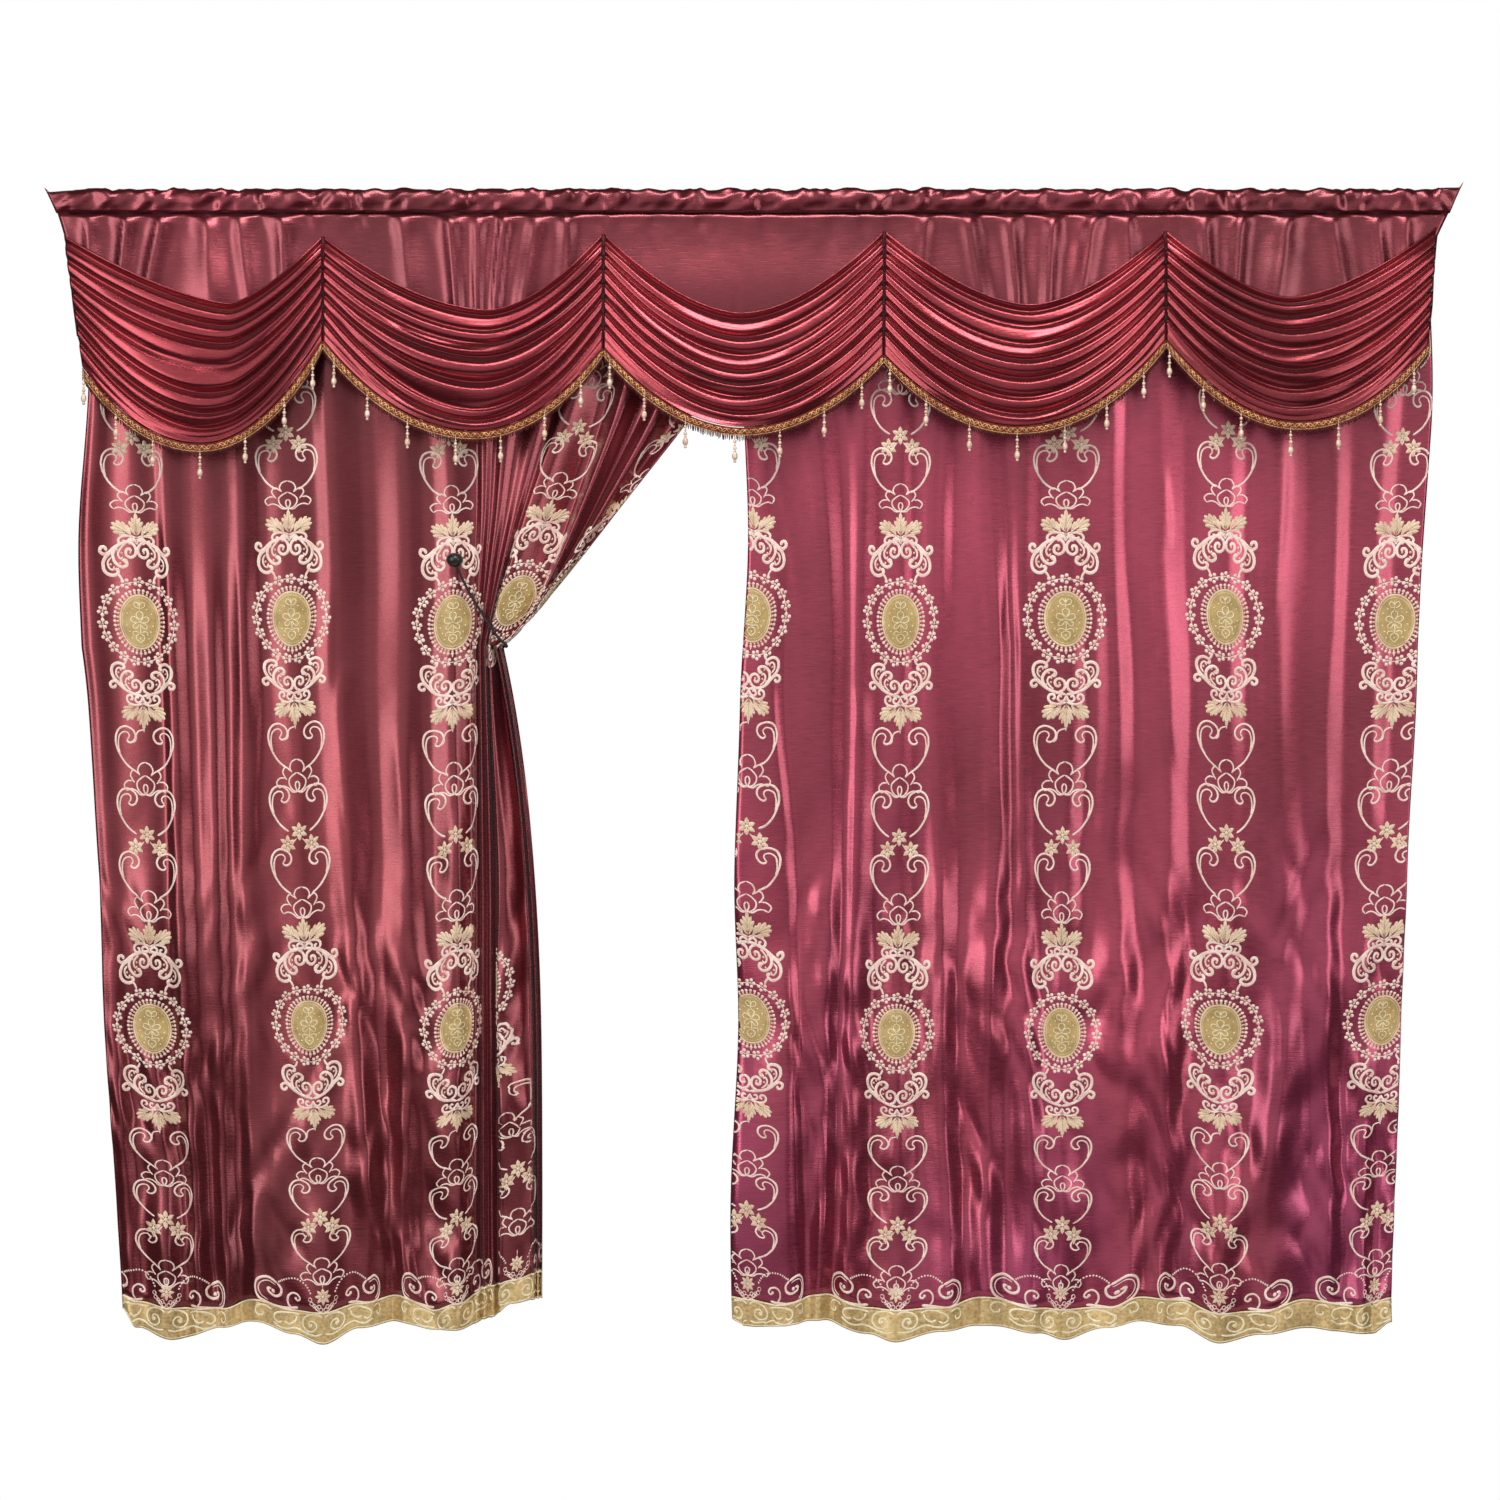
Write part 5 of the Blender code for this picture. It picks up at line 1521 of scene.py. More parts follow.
class Needle(Makings):
    """Sews lines, petals and dots on one curtain, along one upright column of motifs."""

    def __init__(self, curtain, row):
        super().__init__()
        self.curtain = curtain
        deep = np.append(curtain.deep, np.full(BORDER_ROWS, curtain.flat_long))
        share = np.interp(deep, SLIP_DEPTHS, SLIP_SHARES)[:, None]
        upper, lower = curtain.sew_from(row["fold"]), curtain.sew_from(row["low_fold"])
        self.reach = upper * share + lower * (1.0 - share)
        self.first = np.searchsorted(curtain.fold_of, row["first_fold"])
        self.shift = (row["upper_lower"], row["lower_lower"])
        self.top = 0.0
        self.tall = 1.0
        self.wide = 1.0

    def motif(self, top, tall=1.0, wide=1.0):
        """Set where the next motif starts, in millimetres down the cloth, and its size."""
        self.top = (top + np.interp(top, SHIFT_DEPTHS, self.shift)) * MM
        self.tall = tall
        self.wide = wide

    def over_cloth(self, flat, lift):
        """Points over the cloth for flat places (aside, down) in a motif's millimetres."""
        aside = flat[..., 0] * MM * ASIDE_EASE * self.wide
        deep = self.top + flat[..., 1] * MM * self.tall
        curtain = self.curtain
        row = np.interp(deep, curtain.deep, np.arange(len(curtain.deep)))
        place = np.clip((aside + ASIDE_REACH) / ASIDE_STEP, 0.0, self.reach.shape[1] - 1.001)
        past = np.maximum(np.abs(aside) - ASIDE_REACH, 0.0) * np.sign(aside) / COLUMN_STEP
        j = place.astype(int)
        part = place - j
        below = deep - curtain.flat_long
        i = np.round(np.minimum(row, PANEL_ROWS - 1)).astype(int)
        column = self.reach[i, j] * (1.0 - part) + self.reach[i, j + 1] * part + past
        whole = np.clip(column, 0, len(curtain.band_deep) - 1).astype(int)
        share = below / curtain.band_deep[whole]
        on_band = PANEL_ROWS + np.minimum(share, BAND_LIMIT) * (BORDER_ROWS - 1.0)
        row = np.where(below > 0.0, on_band, row)
        column = np.where((deep > SLIP_DEPTHS[0]) & (column < self.first), -1.0, column)
        return curtain.spot(row, column, lift)

    def strip(self, flat, widths, look, high=STITCH_HIGH):
        """A raised strip along flat points, with a width at each."""
        along = unit(np.gradient(flat, axis=0))
        beside = np.stack([-along[:, 1], along[:, 0]], -1)
        half = (np.broadcast_to(widths, len(flat)) / 2.0)[:, None]
        places = np.stack([flat - beside * half, flat, flat + beside * half], 1)
        lift = np.stack([np.full(len(flat), v) for v in (SUNK, high, SUNK)], 1)
        points = self.over_cloth(places, lift)
        faces = grid_faces(len(flat), 3)
        self.keep(points.reshape(-1, 3), faces, look)

    def keep(self, points, faces, look):
        """Add the faces whose points are all on the cloth."""
        whole = np.isfinite(points).all(axis=1)
        faces = [face for face in np.asarray(faces).tolist() if all(whole[k] for k in face)]
        if not faces:
            return
        used = sorted({k for face in faces for k in face})
        number = {k: i for i, k in enumerate(used)}
        self.add(points[used], [[number[k] for k in face] for face in faces], look)

    def line(self, points, wide, look=OUTLINE, mirrored=True, high=STITCH_HIGH):
        """A soft line of stitches through points, and its mirror image."""
        rough = curve_through(points, 3 * len(points))
        long = lengths(rough)[-1] * MM
        flat = curve_through(points, max(4, int(long / STITCH_STEP) + 2))
        widths = np.full(len(flat), float(wide))
        widths[[0, -1]] *= LINE_END
        self.sides(flat, widths, look, mirrored, high)

    def sides(self, flat, widths, look, mirrored, high):
        """A raised strip, and its mirror image where there is one."""
        for side in (1.0, -1.0) if mirrored else (1.0,):
            self.strip(flat * (side, 1.0), widths, look, high)

    def swelling(self, root, tip, parts, widths, look, mirrored, high):
        """A strip from root to tip, with a width at each part of the way."""
        flat = np.array(root) + np.outer(parts, np.subtract(tip, root))
        self.sides(flat, widths, look, mirrored, high)

    def petal(self, root, tip, wide, mirrored=True):
        """A petal from root to tip, widest between."""
        parts = np.linspace(0.0, 1.0, PETAL_STEPS)
        widths = wide * (0.16 + 0.84 * np.sin(math.pi * parts ** 0.8))
        self.swelling(root, tip, parts, widths, LEAF, mirrored, STITCH_HIGH)

    def lobe(self, root, tip, wide, mirrored=True):
        """One rounded lobe of a leaf, widest near its tip."""
        self.swelling(root, tip, LOBE_PARTS, wide * np.array(LOBE_WIDTHS), LEAF, mirrored, LOBE_HIGH)

    def dot(self, centre, radius, look=OUTLINE, mirrored=True, high=STITCH_HIGH, sides=6):
        """A small round knot of thread."""
        turn = np.arange(sides) * 2.0 * math.pi / sides
        ring = np.stack([np.cos(turn), np.sin(turn)], -1) * radius
        flat = np.vstack([[(0.0, 0.0)], ring * 0.6, ring]) + centre
        lift = np.array([high] + [high * 0.8] * sides + [SUNK] * sides)
        inner = [(0, 1 + k, 1 + (k + 1) % sides) for k in range(sides)]
        outer = [(1 + k, 1 + sides + k, 1 + sides + (k + 1) % sides) for k in range(sides)]
        more = [(1 + k, 1 + sides + (k + 1) % sides, 1 + (k + 1) % sides) for k in range(sides)]
        for side in (1.0, -1.0) if mirrored else (1.0,):
            self.keep(self.over_cloth(flat * (side, 1.0), lift), inner + outer + more, look)

    def flower(self, centre, radius, petals, mirrored=True, round_by=0.62):
        """Petals round a knot."""
        for k in range(petals):
            angle = 2.0 * math.pi * k / petals - math.pi / 2
            way = np.array((math.cos(angle), math.sin(angle)))
            root, tip = centre + way * radius * PETAL_START, centre + way * radius
            self.petal(root, tip, radius * round_by, mirrored)
        self.dot(centre, radius * FLOWER_KNOT, OUTLINE, mirrored, 2.4 * MM, 5)


print("needle: ready")

# %% [markdown]
# ## The motifs
#
# One repeat of the pattern is an oval medallion between two sprays of leaves and scrolls, and
# then a chain of curled hearts and lotus outlines. They are ordinary flowers and scrolls, drawn
# here with a few points for each line. Only the right half is drawn, and the needle
# mirrors it.

# %% Motif lines
HEART_OUTER = (
    (38, 28), (32, 32), (24, 29), (19, 20), (21, 10), (29, 3), (41, 0), (53, 5),
    (60, 16), (62, 30), (59, 45), (52, 60), (42, 74), (31, 83), (22, 88),
)
HEART_INNER = ((38, 28), (33, 21), (33, 15), (38, 11), (46, 12), (53, 18), (56, 29), (56, 42), (53, 56))
LOTUS_LINES = (
    ((0, 0), (11, 5), (16, 16), (11.5, 25)),
    ((11.5, 25), (25, 16), (32, 25), (28, 34), (23, 40)),
    ((28, 37), (37, 37), (44, 42), (46, 48), (41, 56)),
    ((0, 25), (9, 30), (18, 39), (17, 50), (9, 59), (0, 61)),
    ((0, 61), (4, 53), (4, 45), (0, 41)),
    ((0, 61), (11, 62), (20, 55), (31, 52), (41, 56)),
)
# width and points
SCROLL_LINES = (
    (7.0, ((0, -3), (14, 0), (29, 5), (41, 12), (51, 21), (60, 26), (68, 21), (66, 13), (59, 13), (57, 19))),
    (6.4, ((17, 1), (7, 5), (2, 14), (4, 25), (13, 30), (21, 25), (20, 16), (14, 14), (11, 19))),
    (7.2, ((47, 20), (59, 31), (64, 45), (61, 58), (50, 64), (39, 61), (37, 54), (43, 52))),
    (6.8, ((35, 9), (44, 20), (45, 33), (38, 44), (28, 48), (20, 43), (22, 35), (29, 36))),
    (4.4, ((49, 31), (55, 40), (53, 51), (46, 54), (44, 47))),
    (4.4, ((24, 8), (31, 14), (36, 24), (32, 33), (27, 29))),
    (5.2, ((38, 61), (33, 67), (30, 75))),
)
SCROLL_DOTS = ((33, 41), (38, 17), (50, 44), (29, 22), (57, 23), (13, 21), (24, 39))
# root, tip and width
LEAF_LOBES = (
    ((0, 36), (0, 0), 9),
    ((0, 34), (8, 9), 7),
    ((0, 40), (13, 17), 8.5),
    ((2, 46), (11, 29), 7),
    ((10, 46), (18, 25), 7.5),
    ((15, 43), (26, 18), 8.5),
    ((21, 39), (36, 16), 9),
    ((25, 36), (45, 21), 9.5),
    ((24, 39), (47, 31), 9),
    ((20, 43), (43, 41), 8.5),
    ((13, 47), (32, 47), 8),
)
LEAF_VEINS = (((0, 62), (0, 40), (0, 12)), ((6, 50), (18, 40), (38, 25)))
LEAF_CURLS = (
    ((0, 52), (14, 48), (27, 50), (34, 57), (32, 66), (24, 67), (22, 60), (27, 58)),
    ((0, 66), (3, 57), (10, 53), (16, 58), (13, 65), (8, 62)),
)
LEAF_TAIL = ((0, 0), (-12, -4), (-17, -12), (-18, -22), (-24, -28))
STAR_PLACES = ((0.0, 0.0), (25.0, 24.0))
STAR_RADIUS = 18.0
# motif, and the depths of its top and foot down the cloth
CHAIN = (
    ("heart", 218, 306),
    ("lotus", 290, 354),
    ("heart", 346, 434),
    ("stars", 430, 468),
    ("heart", 462, 550),
    ("lotus", 532, 588),
    ("leaves", 590, 656),
    ("scrolls", 646, 728),
    ("medallion", 725, 889),
    ("scrolls_down", 882, 954),
    ("leaves_down", 954, 1024),
    ("heart", 1020, 1108),
    ("lotus", 1090, 1156),
    ("heart", 1146, 1236),
    ("stars", 1230, 1272),
    ("heart", 1274, 1362),
    ("lotus", 1348, 1410),
    ("leaves", 1410, 1478),
    ("scrolls", 1474, 1552),
    ("medallion", 1554, 1702),
    ("scrolls_down", 1700, 1770),
    ("leaves_down", 1774, 1832),
    ("heart", 1834, 1904),
    ("lotus", 1890, 1942),
    ("heart", 1938, 2006),
    ("stars", 2002, 2036),
    ("heart", 2036, 2102),
    ("lotus", 2088, 2142),
)
OVAL_WIDE = 39.0
OVAL_TALL = 53.6
OVAL_RAYS = 40
OVAL_RINGS = (0.16, 0.33, 0.50, 0.67, 0.84, 0.97)
OVAL_HIGH = 1.7 * MM
OVAL_EDGE = 0.8 * MM
SPRIG_HIGH = 3.6 * MM
WREATH_WIDE = 74.0
WREATH_TALL = 80.0
WREATH_FLOWERS = 19
WREATH_PETAL_OUT = 7.4
WREATH_PETAL = 4.3
OVAL_SIDES = 30
RIM_POINTS = 48
VINE_POINTS = 64
SPRIG_LOOPS = (
    ((1, -1), (7, -9), (15, -10), (18, -4), (13, 1), (4, 1)),
    ((1, 1), (8, 3), (14, 8), (12, 14), (6, 12), (1, 4)),
    ((0, -4), (6, -11), (6, -18), (0, -21)),
    ((0, -27), (8, -29), (11, -35), (7, -40), (2, -36), (0, -30)),
    ((0, 24), (7, 27), (8, 34), (3, 39), (0, 43)),
    ((1, 22), (9, 19), (15, 22), (13, 28)),
)
SPRIG_STEMS = (((0, -21), (0, -28), (0, -42)), ((0, 4), (1, 14), (0, 26)))
SPRIG_DOTS = ((0, 0), (24, -16), (26, 8), (21, 20), (14, -25), (17, 33), (0, 33))
print("motifs: drawn, with a chain of", len(CHAIN))

# %% [markdown]
# ## Sewing each motif
#
# Each motif has a function that places the needle and sews the lines. The height that it was
# drawn at says how far it has to be stretched to fill its place in the chain. Leaves and scrolls
# are also sewn upside down, under a medallion.

# %% Sewing each motif
HEART_DRAWN = 88.0
LOTUS_DRAWN = 62.0
STARS_DRAWN = 38.0
LEAVES_DRAWN = 70.0
SCROLLS_DRAWN = 75.0
MEDALLION_DRAWN = 164.0
ELLIPSE_POINTS = 361


def stretch(needle, top, foot, drawn, turned=False):
    """Place a motif from its top to its foot, or the other way up."""
    tall = (foot - top) / drawn
    needle.motif(foot if turned else top, -tall if turned else tall)


def sew_heart(needle, top, foot):
    stretch(needle, top, foot, HEART_DRAWN)
    needle.line(HEART_OUTER, 4.7)
    needle.line(HEART_INNER, 3.5)


def sew_lotus(needle, top, foot):
    stretch(needle, top, foot, LOTUS_DRAWN)
    for line in LOTUS_LINES:
        needle.line(line, 3.6)


def sew_stars(needle, top, foot):
    needle.motif(top)
    lower = (foot - top) / STARS_DRAWN
    for x, y in STAR_PLACES:
        needle.flower((x, y * lower + 6.0), STAR_RADIUS, 6, mirrored=x > 0.0)
    needle.line(((6, 20), (12, 27), (16, 34)), 3.0)
    needle.line(((38, 40), (33, 47), (28, 44)), 3.0)


def sew_leaves(needle, top, foot, turned=False):
    stretch(needle, top, foot, LEAVES_DRAWN, turned)
    for root, tip, wide in LEAF_LOBES:
        needle.lobe(root, tip, wide, mirrored=tip[0] > 0.0)
    for line in LEAF_VEINS:
        needle.line(line, 2.0, high=3.2 * MM)
    for line in LEAF_CURLS:
        needle.line(line, 5.8)
    needle.line(((0, -5), (0, 1), (0, 6)), 3.4, mirrored=False)
    if turned:
        needle.line(LEAF_TAIL, 3.6, mirrored=False)


def sew_scrolls(needle, top, foot, turned=False):
    stretch(needle, top, foot, SCROLLS_DRAWN, turned)
    for wide, line in SCROLL_LINES:
        needle.line(line, wide)
    for place in SCROLL_DOTS:
        needle.dot(place, 2.6, LEAF, mirrored=place[0] > 0.0)


def ring_of(count, wide, tall):
    """Places round an ellipse, evenly spaced along it, from the top."""
    turn = np.linspace(0.0, 2.0 * math.pi, ELLIPSE_POINTS)
    line = np.stack([np.sin(turn) * wide, -np.cos(turn) * tall], -1)
    run = lengths(line)
    at = np.arange(count) / count * run[-1]
    return np.stack([np.interp(at, run, line[:, k]) for k in range(2)], -1)


def sew_medallion(needle, top, foot):
    """A gold oval with a rim of petals and pearls, in a wreath of small flowers."""
    needle.motif((top + foot) / 2.0, (foot - top) / MEDALLION_DRAWN)
    ring = ring_of(OVAL_SIDES, OVAL_WIDE, OVAL_TALL)
    flat = np.vstack([[(0.0, 0.0)]] + [ring * part for part in OVAL_RINGS])
    lift = np.full(len(flat), OVAL_HIGH)
    lift[-OVAL_SIDES:] = OVAL_EDGE
    k = np.arange(OVAL_SIDES)
    centre = [(0, 1 + a, 1 + b) for a, b in zip(k, (k + 1) % OVAL_SIDES)]
    fill = 1 + grid_faces(len(OVAL_RINGS), OVAL_SIDES, ring=True)
    fill = np.stack([fill[:, (0, 1, 2)], fill[:, (0, 2, 3)]], 1).reshape(-1, 3)
    needle.keep(needle.over_cloth(flat, lift), centre + fill.tolist(), OVAL)
    for wide, scale, look in ((4.6, 1.0, LEAF), (1.8, 0.90, TONE)):
        rim = ring_of(RIM_POINTS, OVAL_WIDE * scale, OVAL_TALL * scale)
        needle.strip(np.vstack([rim, rim[:1]]), wide, look)
    inner = ring_of(OVAL_RAYS, OVAL_WIDE + 2.0, OVAL_TALL + 2.0)
    outer = ring_of(OVAL_RAYS, OVAL_WIDE + 8.5, OVAL_TALL + 7.5)
    for a, b in zip(inner, outer):
        needle.petal(a, b, 5.6, mirrored=False)
        needle.dot(b + (b - a) * 0.40, 3.7, mirrored=False, high=2.4 * MM)
    vine = ring_of(VINE_POINTS, WREATH_WIDE, WREATH_TALL)
    needle.strip(np.vstack([vine, vine[:1]]), 2.4, OUTLINE, 1.2 * MM)
    for i, place in enumerate(ring_of(WREATH_FLOWERS, WREATH_WIDE, WREATH_TALL)):
        for angle in np.arange(5) * 2.0 * math.pi / 5 + i * 0.7:
            petal_at = place + np.array((math.cos(angle), math.sin(angle))) * WREATH_PETAL_OUT
            needle.dot(petal_at, WREATH_PETAL, mirrored=False)
        needle.dot(place, 2.6, LEAF, False, 2.6 * MM, 5)
    needle.line(((0, 56), (0, 62), (0, 70)), 4.0, mirrored=False)
    sew_oval_sprig(needle)


def sew_oval_sprig(needle):
    """The outlined flower, buds and dots inside the oval."""
    for line in SPRIG_LOOPS:
        needle.line(line, 3.4, TONE, high=SPRIG_HIGH)
    for line in SPRIG_STEMS:
        needle.line(line, 3.0, TONE, False, high=SPRIG_HIGH)
    for place in SPRIG_DOTS:
        needle.dot(place, 2.5, TONE, mirrored=place[0] > 0.0, high=SPRIG_HIGH)


MOTIFS = {
    "heart": sew_heart,
    "lotus": sew_lotus,
    "stars": sew_stars,
    "leaves": sew_leaves,
    "leaves_down": lambda needle, top, foot: sew_leaves(needle, top, foot, True),
    "scrolls": sew_scrolls,
    "scrolls_down": lambda needle, top, foot: sew_scrolls(needle, top, foot, True),
    "medallion": sew_medallion,
}
print("motifs:", len(MOTIFS), "kinds")

# %% [markdown]
# ## The foot of each column
#
# Where a column of motifs meets the gold border there is a round flower on lacy loops, between
# two big open spirals and two arcs of beads. Spirals of neighbouring columns stand back to back.
# On the gold itself the same kind of scrolls are worked in its own colour. The width of a foot
# follows the distance to the next column.

# %% Foot lines
FOOT_HALF = 156.0
SPIRAL_OUTER = (
    (-102, -46), (-123, -52), (-146, -41), (-151, -23), (-143, -7), (-128, -1), (-108, 0),
    (-80, -3), (-56, -6),
)
SPIRAL_INNER = ((-102, -46), (-93, -38), (-95, -26), (-108, -19), (-121, -23), (-123, -30), (-116, -31))
SPIRAL_ECHO = ((-106, -41), (-122, -45), (-138, -37), (-143, -24), (-137, -12), (-124, -6))
SMALL_SCROLL = (
    (-72, -4), (-79, -14), (-78, -27), (-68, -35), (-56, -32), (-51, -24), (-57, -20), (-62, -25),
)
SPIRAL_CENTRES = (((-112, -28), 4.6), ((-61, -24), 3.6))
BEAD_ARC = ((-27, -38), (-36, -52), (-52, -62), (-70, -64), (-86, -58), (-98, -50))
BEADS_IN_ARC = 15
LACE = ((28, -25), (25, -17), (19, -13), (14, -9), (9, -12), (5, -6))
LACE_RADIUS = 4.2
BAND_SPIRAL = (
    (3, 9), (12, 3), (28, 4), (43, 12), (47, 25), (38, 37), (24, 37), (15, 28), (20, 18),
    (30, 18), (33, 26), (27, 29),
)
BAND_LONG = ((54, 8), (70, 4), (92, 7), (108, 14), (111, 24), (102, 30), (92, 26))
BAND_HOOK = ((60, 10), (64, 20), (76, 27), (88, 24))
BAND_TAIL = ((117, 10), (130, 6), (146, 9), (152, 19), (145, 27), (134, 25), (133, 18))
BAND_WAVE = ((4, 42), (18, 45), (36, 43), (54, 36), (68, 34), (84, 38), (100, 38), (114, 32))
FOOT_SCROLLS = ((SPIRAL_OUTER, 6.0), (SPIRAL_INNER, 6.0), (SPIRAL_ECHO, 2.4), (SMALL_SCROLL, 4.6))


def sew_foot(needle, half_span):
    """The flower, beads and scrolls where a column meets the border."""
    needle.motif(0.0, 1.0, half_span / FOOT_HALF)
    needle.top = needle.curtain.flat_long
    for points, wide in FOOT_SCROLLS:
        needle.line(points, wide)
    for place, radius in SPIRAL_CENTRES:
        needle.dot(place, radius)
    for place in curve_through(BEAD_ARC, BEADS_IN_ARC):
        needle.dot(place, 2.5, sides=5)
    needle.flower((0, -32), 17.0, 8, mirrored=False, round_by=0.5)
    needle.line(((0, -60), (0, -50)), 2.4, mirrored=False)
    turn = np.linspace(0.0, 2.0 * math.pi, 6)
    loop = np.stack([np.cos(turn), np.sin(turn)], -1) * LACE_RADIUS
    for place in LACE:
        needle.line(loop + place, 2.0)
    needle.line(((22, -16), (12, -4), (0, 2)), 3.0)
    for points in (BAND_SPIRAL, BAND_LONG, BAND_HOOK, BAND_TAIL, BAND_WAVE):
        needle.line(points, 4.8, TONE, high=2.4 * MM)
    needle.dot((28, 25), 4.0, TONE)


print("feet: ready")

# %% [markdown]
# ## Sewing every column
#
# Each curtain has five columns of motifs. The table says which fold line a column follows, how
# much lower its upper and lower medallions lie than in the chain, and how far its foot reaches to
# either side. The drawn cloth hides some motifs of the left curtain's fourth and fifth columns,
# so they are left out between two depths. Below them the fourth column follows another fold
# line, and it is cut off left of a third one.

# %% Sew every column
ROW_NAMES = (
    "fold", "upper_lower", "lower_lower", "half_span",
    "hidden_from", "hidden_to", "low_fold", "first_fold",
)
SEWN_COLUMNS = {
    "left": (
        (3.0, 10, 2, 150, 0, 0, 3.0, 0.0),
        (11.0, 0, -12, 150, 0, 0, 11.0, 0.0),
        (17.0, 14, 6, 140, 0, 0, 17.0, 0.0),
        (25.5, 0, -45, 140, 950, 1540, 23.3, 24.4),
        (31.0, 0, 0, 140, 950, 2400, 31.0, 0.0),
    ),
    "right": (
        (0.25, 0, -10, 138, 0, 0, 0.25, 0.0),
        (7.0, 6, 4, 152, 0, 0, 7.0, 0.0),
        (15.0, 0, 2, 164, 0, 0, 15.0, 0.0),
        (21.0, -6, -8, 160, 0, 0, 21.0, 0.0),
        (28.0, 10, -12, 138, 0, 0, 28.0, 0.0),
    ),
}
embroidered = {"left": [], "right": []}
for side_name, rows in SEWN_COLUMNS.items():
    curtain, panel, band = curtains[side_name]
    for number, values in enumerate(rows):
        row = dict(zip(ROW_NAMES, values))
        needle = Needle(curtain, row)
        for motif, top, foot in CHAIN:
            if not row["hidden_from"] < top < row["hidden_to"]:
                MOTIFS[motif](needle, float(top), float(foot))
        if row["hidden_to"] < curtain.flat_long / MM:
            sew_foot(needle, row["half_span"])
        piece = needle.piece(f"embroidery_{side_name}_{number + 1}", threads)
        settle(piece, "panel_satin")
        embroidered[side_name].append(piece)

# %% [markdown]
# ## Piping
#
# A cream piping covers the join between curtain and border, and a thin line of stitches runs
# along the hem. Both are tubes that follow a row of the grid.

# %% Piping
PIPING = 1.9 * MM
HEM_LINE = 1.2 * MM
PIPING_OVER = 1.1 * MM
JOIN_ROW = PANEL_ROWS - 0.5
HEM_ROW = PANEL_ROWS + BORDER_ROWS - 1.45
for side_name, (curtain, panel, band) in curtains.items():
    makings = Makings()
    columns = np.arange(0.0, len(curtain.fold_of) - 1.0, 1.0)
    over = np.full(len(columns), PIPING_OVER)
    for row, radius, sides in ((JOIN_ROW, PIPING, 6), (HEM_ROW, HEM_LINE, 4)):
        makings.tube(curtain.spot(np.full(len(columns), row), columns, over), radius, 0, sides)
    piping = makings.piece(f"{side_name}_piping", [tone_thread])
    settle(piping, "border_gold")
    flat = (round(curtain.flat_wide, 3), round(curtain.flat_long, 3))
    [band, piping] + embroidered[side_name]

# %% [markdown]
# ## The knob
#
# A dark oval knob stands on the curtain's face. It is turned from one profile, as on a lathe, and
# pressed oval.

# %% Knob
def dark_look(name, dark, light, rough, fine):
    """A near black finish with faint marks of use."""
    material, look = new_look(name)
    marks = look.noise(fine, fine, fine, 3.0)
    colour = look.mixed(look.stretched(marks, 0.35, 0.7), dark, light)
    look.paint(colour, look.noise(90.0, 90.0, 90.0) * 0.25 + rough, (0.4, 0.4 * MM, marks))
    return material


KNOB_AT = (-600 * MM, -744 * MM)
KNOB_WIDE = 34 * MM
KNOB_TALL = 28 * MM
KNOB_DEEP = 20 * MM
KNOB_BACK_Y = -5.8 * MM
KNOB_TURNS = 40
KNOB_RINGS = 26
KNOB_TIP = 0.002
# how far out of its depth, and how large of its size
KNOB_PROFILE = (
    (0.0, 0.78), (0.10, 0.95), (0.22, 1.0), (0.34, 0.95), (0.40, 0.97),
    (0.62, 0.86), (0.82, 0.62), (0.94, 0.34), (1.0, 0.0),
)
knob_dark = dark_look("knob_dark", screen(0.06, 0.06, 0.05), screen(0.20, 0.19, 0.17), 0.22, 400.0)
cord_dark = dark_look("cord_dark", screen(0.05, 0.05, 0.05), screen(0.17, 0.15, 0.14), 0.55, 1400.0)
profile = curve_through(KNOB_PROFILE, KNOB_RINGS)
turn = (np.arange(KNOB_TURNS) * 2.0 * math.pi / KNOB_TURNS)[None, :]
size = np.maximum(profile[:, 1:], KNOB_TIP)
knob_x = KNOB_AT[0] + np.cos(turn) * size * KNOB_WIDE / 2
knob_z = KNOB_AT[1] + np.sin(turn) * size * KNOB_TALL / 2
knob_y = np.broadcast_to(KNOB_BACK_Y - profile[:, :1] * KNOB_DEEP, knob_x.shape)
knob_grid = np.stack([knob_x, knob_y, knob_z], -1)
faces = grid_faces(len(profile), KNOB_TURNS, ring=True).tolist()
faces.append(list(range(KNOB_TURNS))[::-1])
knob = mesh_piece("knob", knob_grid.reshape(-1, 3), faces, [knob_dark])
settle(knob, "tie_dark", "tieback_knob")

# %% [markdown]
# ## The cord
#
# A thin twisted cord runs down from under the knob, round the bunch of cloth and back up behind
# it, where it ends in a knot. It is two plies wound round each other along the route of its CAD
# solid. In front it is laid on the cloth: at each point it goes as far out as the folds near it
# need, and the steps are then evened out.

# %% Cord
PLY_RADIUS = 1.9 * MM
PLY_OFFSET = 1.4 * MM
CORD_FRONT_Y = -10.0 * MM
CORD_NEAR = 9.0 * MM
CORD_OVER = 5.4 * MM
CORD_PAST = 2.4 * MM
CORD_POINTS = 240
CORD_GUIDE = (0.3, 0.2, 1.0)
PLY_PITCH = 9.0 * MM
CORD_ROUTE = (
    (-594, -15.0, -757.4),
    (-588, -17.0, -774),
    (-572, -18.5, -806),
    (-552, -20.0, -840),
    (-532, -22.0, -872),
    (-511, -23.0, -901),
    (-496, -19.0, -913.5),
    (-493, -2.0, -917),
    (-498, 13.5, -915),
    (-514, 21.5, -906),
    (-540, 20.5, -880),
    (-562, 17.0, -846),
    (-580, 15.5, -806),
    (-592, 15.0, -776),
    (-596, 15.5, -768),
    (-599, 15.5, -760),
    (-601, 15.5, -752),
)
KNOT_POINT = 15
KNOT_CORD = 1.35 * MM
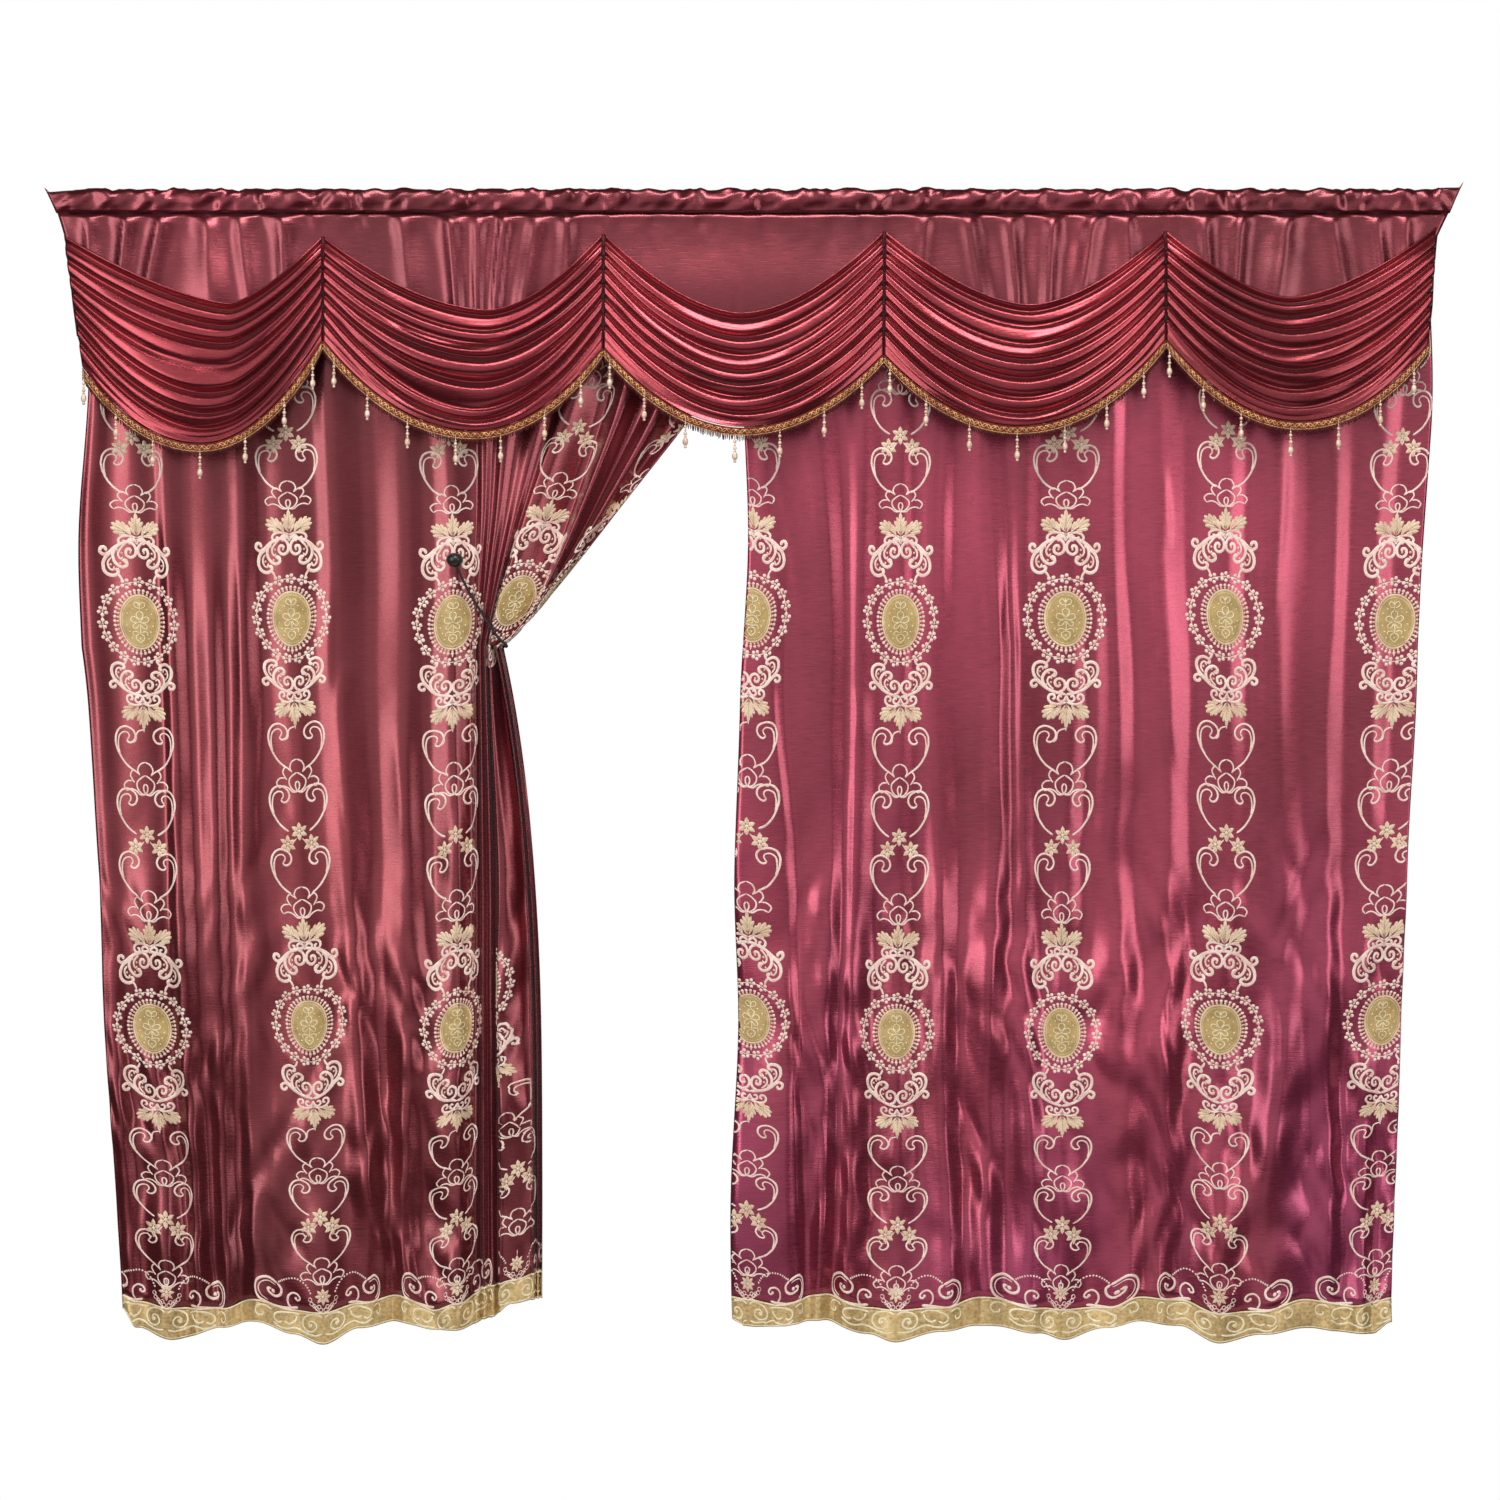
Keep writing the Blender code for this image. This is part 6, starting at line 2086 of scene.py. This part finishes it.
KNOT_LEAN = 2.4 * MM
# place along the cord and radius, in millimetres
KNOT_LOOPS = ((-6.0, 2.9), (-1.5, 3.4), (3.0, 2.9))
route = np.array(CORD_ROUTE) * MM
path = curve_through(route, CORD_POINTS)
cloth_places = left_curtain.grid.reshape(-1, 3)
for i in np.flatnonzero(path[:, 1] < CORD_FRONT_Y):
    apart = np.hypot(cloth_places[:, 0] - path[i, 0], cloth_places[:, 2] - path[i, 2])
    under = cloth_places[apart < CORD_NEAR, 1]
    path[i, 1] = min([path[i, 1]] + (under - CORD_OVER).tolist())
edge_x = np.interp(-path[:, 2], -left_curtain.grid[:, -1, 2], left_curtain.grid[:, -1, 0])
path[:, 0] = np.minimum(path[:, 0], edge_x + CORD_PAST)
path[2:-2, 1] = (path[:-4, 1] + path[1:-3, 1] + path[2:-2, 1] + path[3:-1, 1] + path[4:, 1]) / 5.0
run = lengths(path)
tangent = unit(np.gradient(path, axis=0))
first = unit(np.cross(tangent, CORD_GUIDE))
second = np.cross(tangent, first)
cord_makings = Makings()
for ply in range(2):
    angle = (2.0 * math.pi * run / PLY_PITCH + ply * math.pi)[:, None]
    aside = PLY_OFFSET * (first * np.cos(angle) + second * np.sin(angle))
    cord_makings.tube(path + aside, PLY_RADIUS, 0, sides=7)
cord = cord_makings.piece("tie_cord", [cord_dark])
settle(cord, "tie_cord", "tieback_cord")
knot_makings = Makings()
knot_at = np.argmin(np.linalg.norm(path - route[KNOT_POINT], axis=1))
centre, along = path[knot_at], tangent[knot_at]
angle = np.linspace(0.0, 2.0 * math.pi, 19)[:, None]
circle = first[knot_at] * np.cos(angle) + second[knot_at] * np.sin(angle)
for shift, radius in KNOT_LOOPS:
    loop = centre + along * shift * MM + circle * radius * MM
    loop = loop + along * KNOT_LEAN * np.sin(angle + shift)
    knot_makings.tube(loop, KNOT_CORD, 0, sides=6)
knot = knot_makings.piece("tie_knot", [cord_dark])
settle(knot, "tie_cord")
[tuple(point) for point in path[::8]] + [tuple(path[-1])]
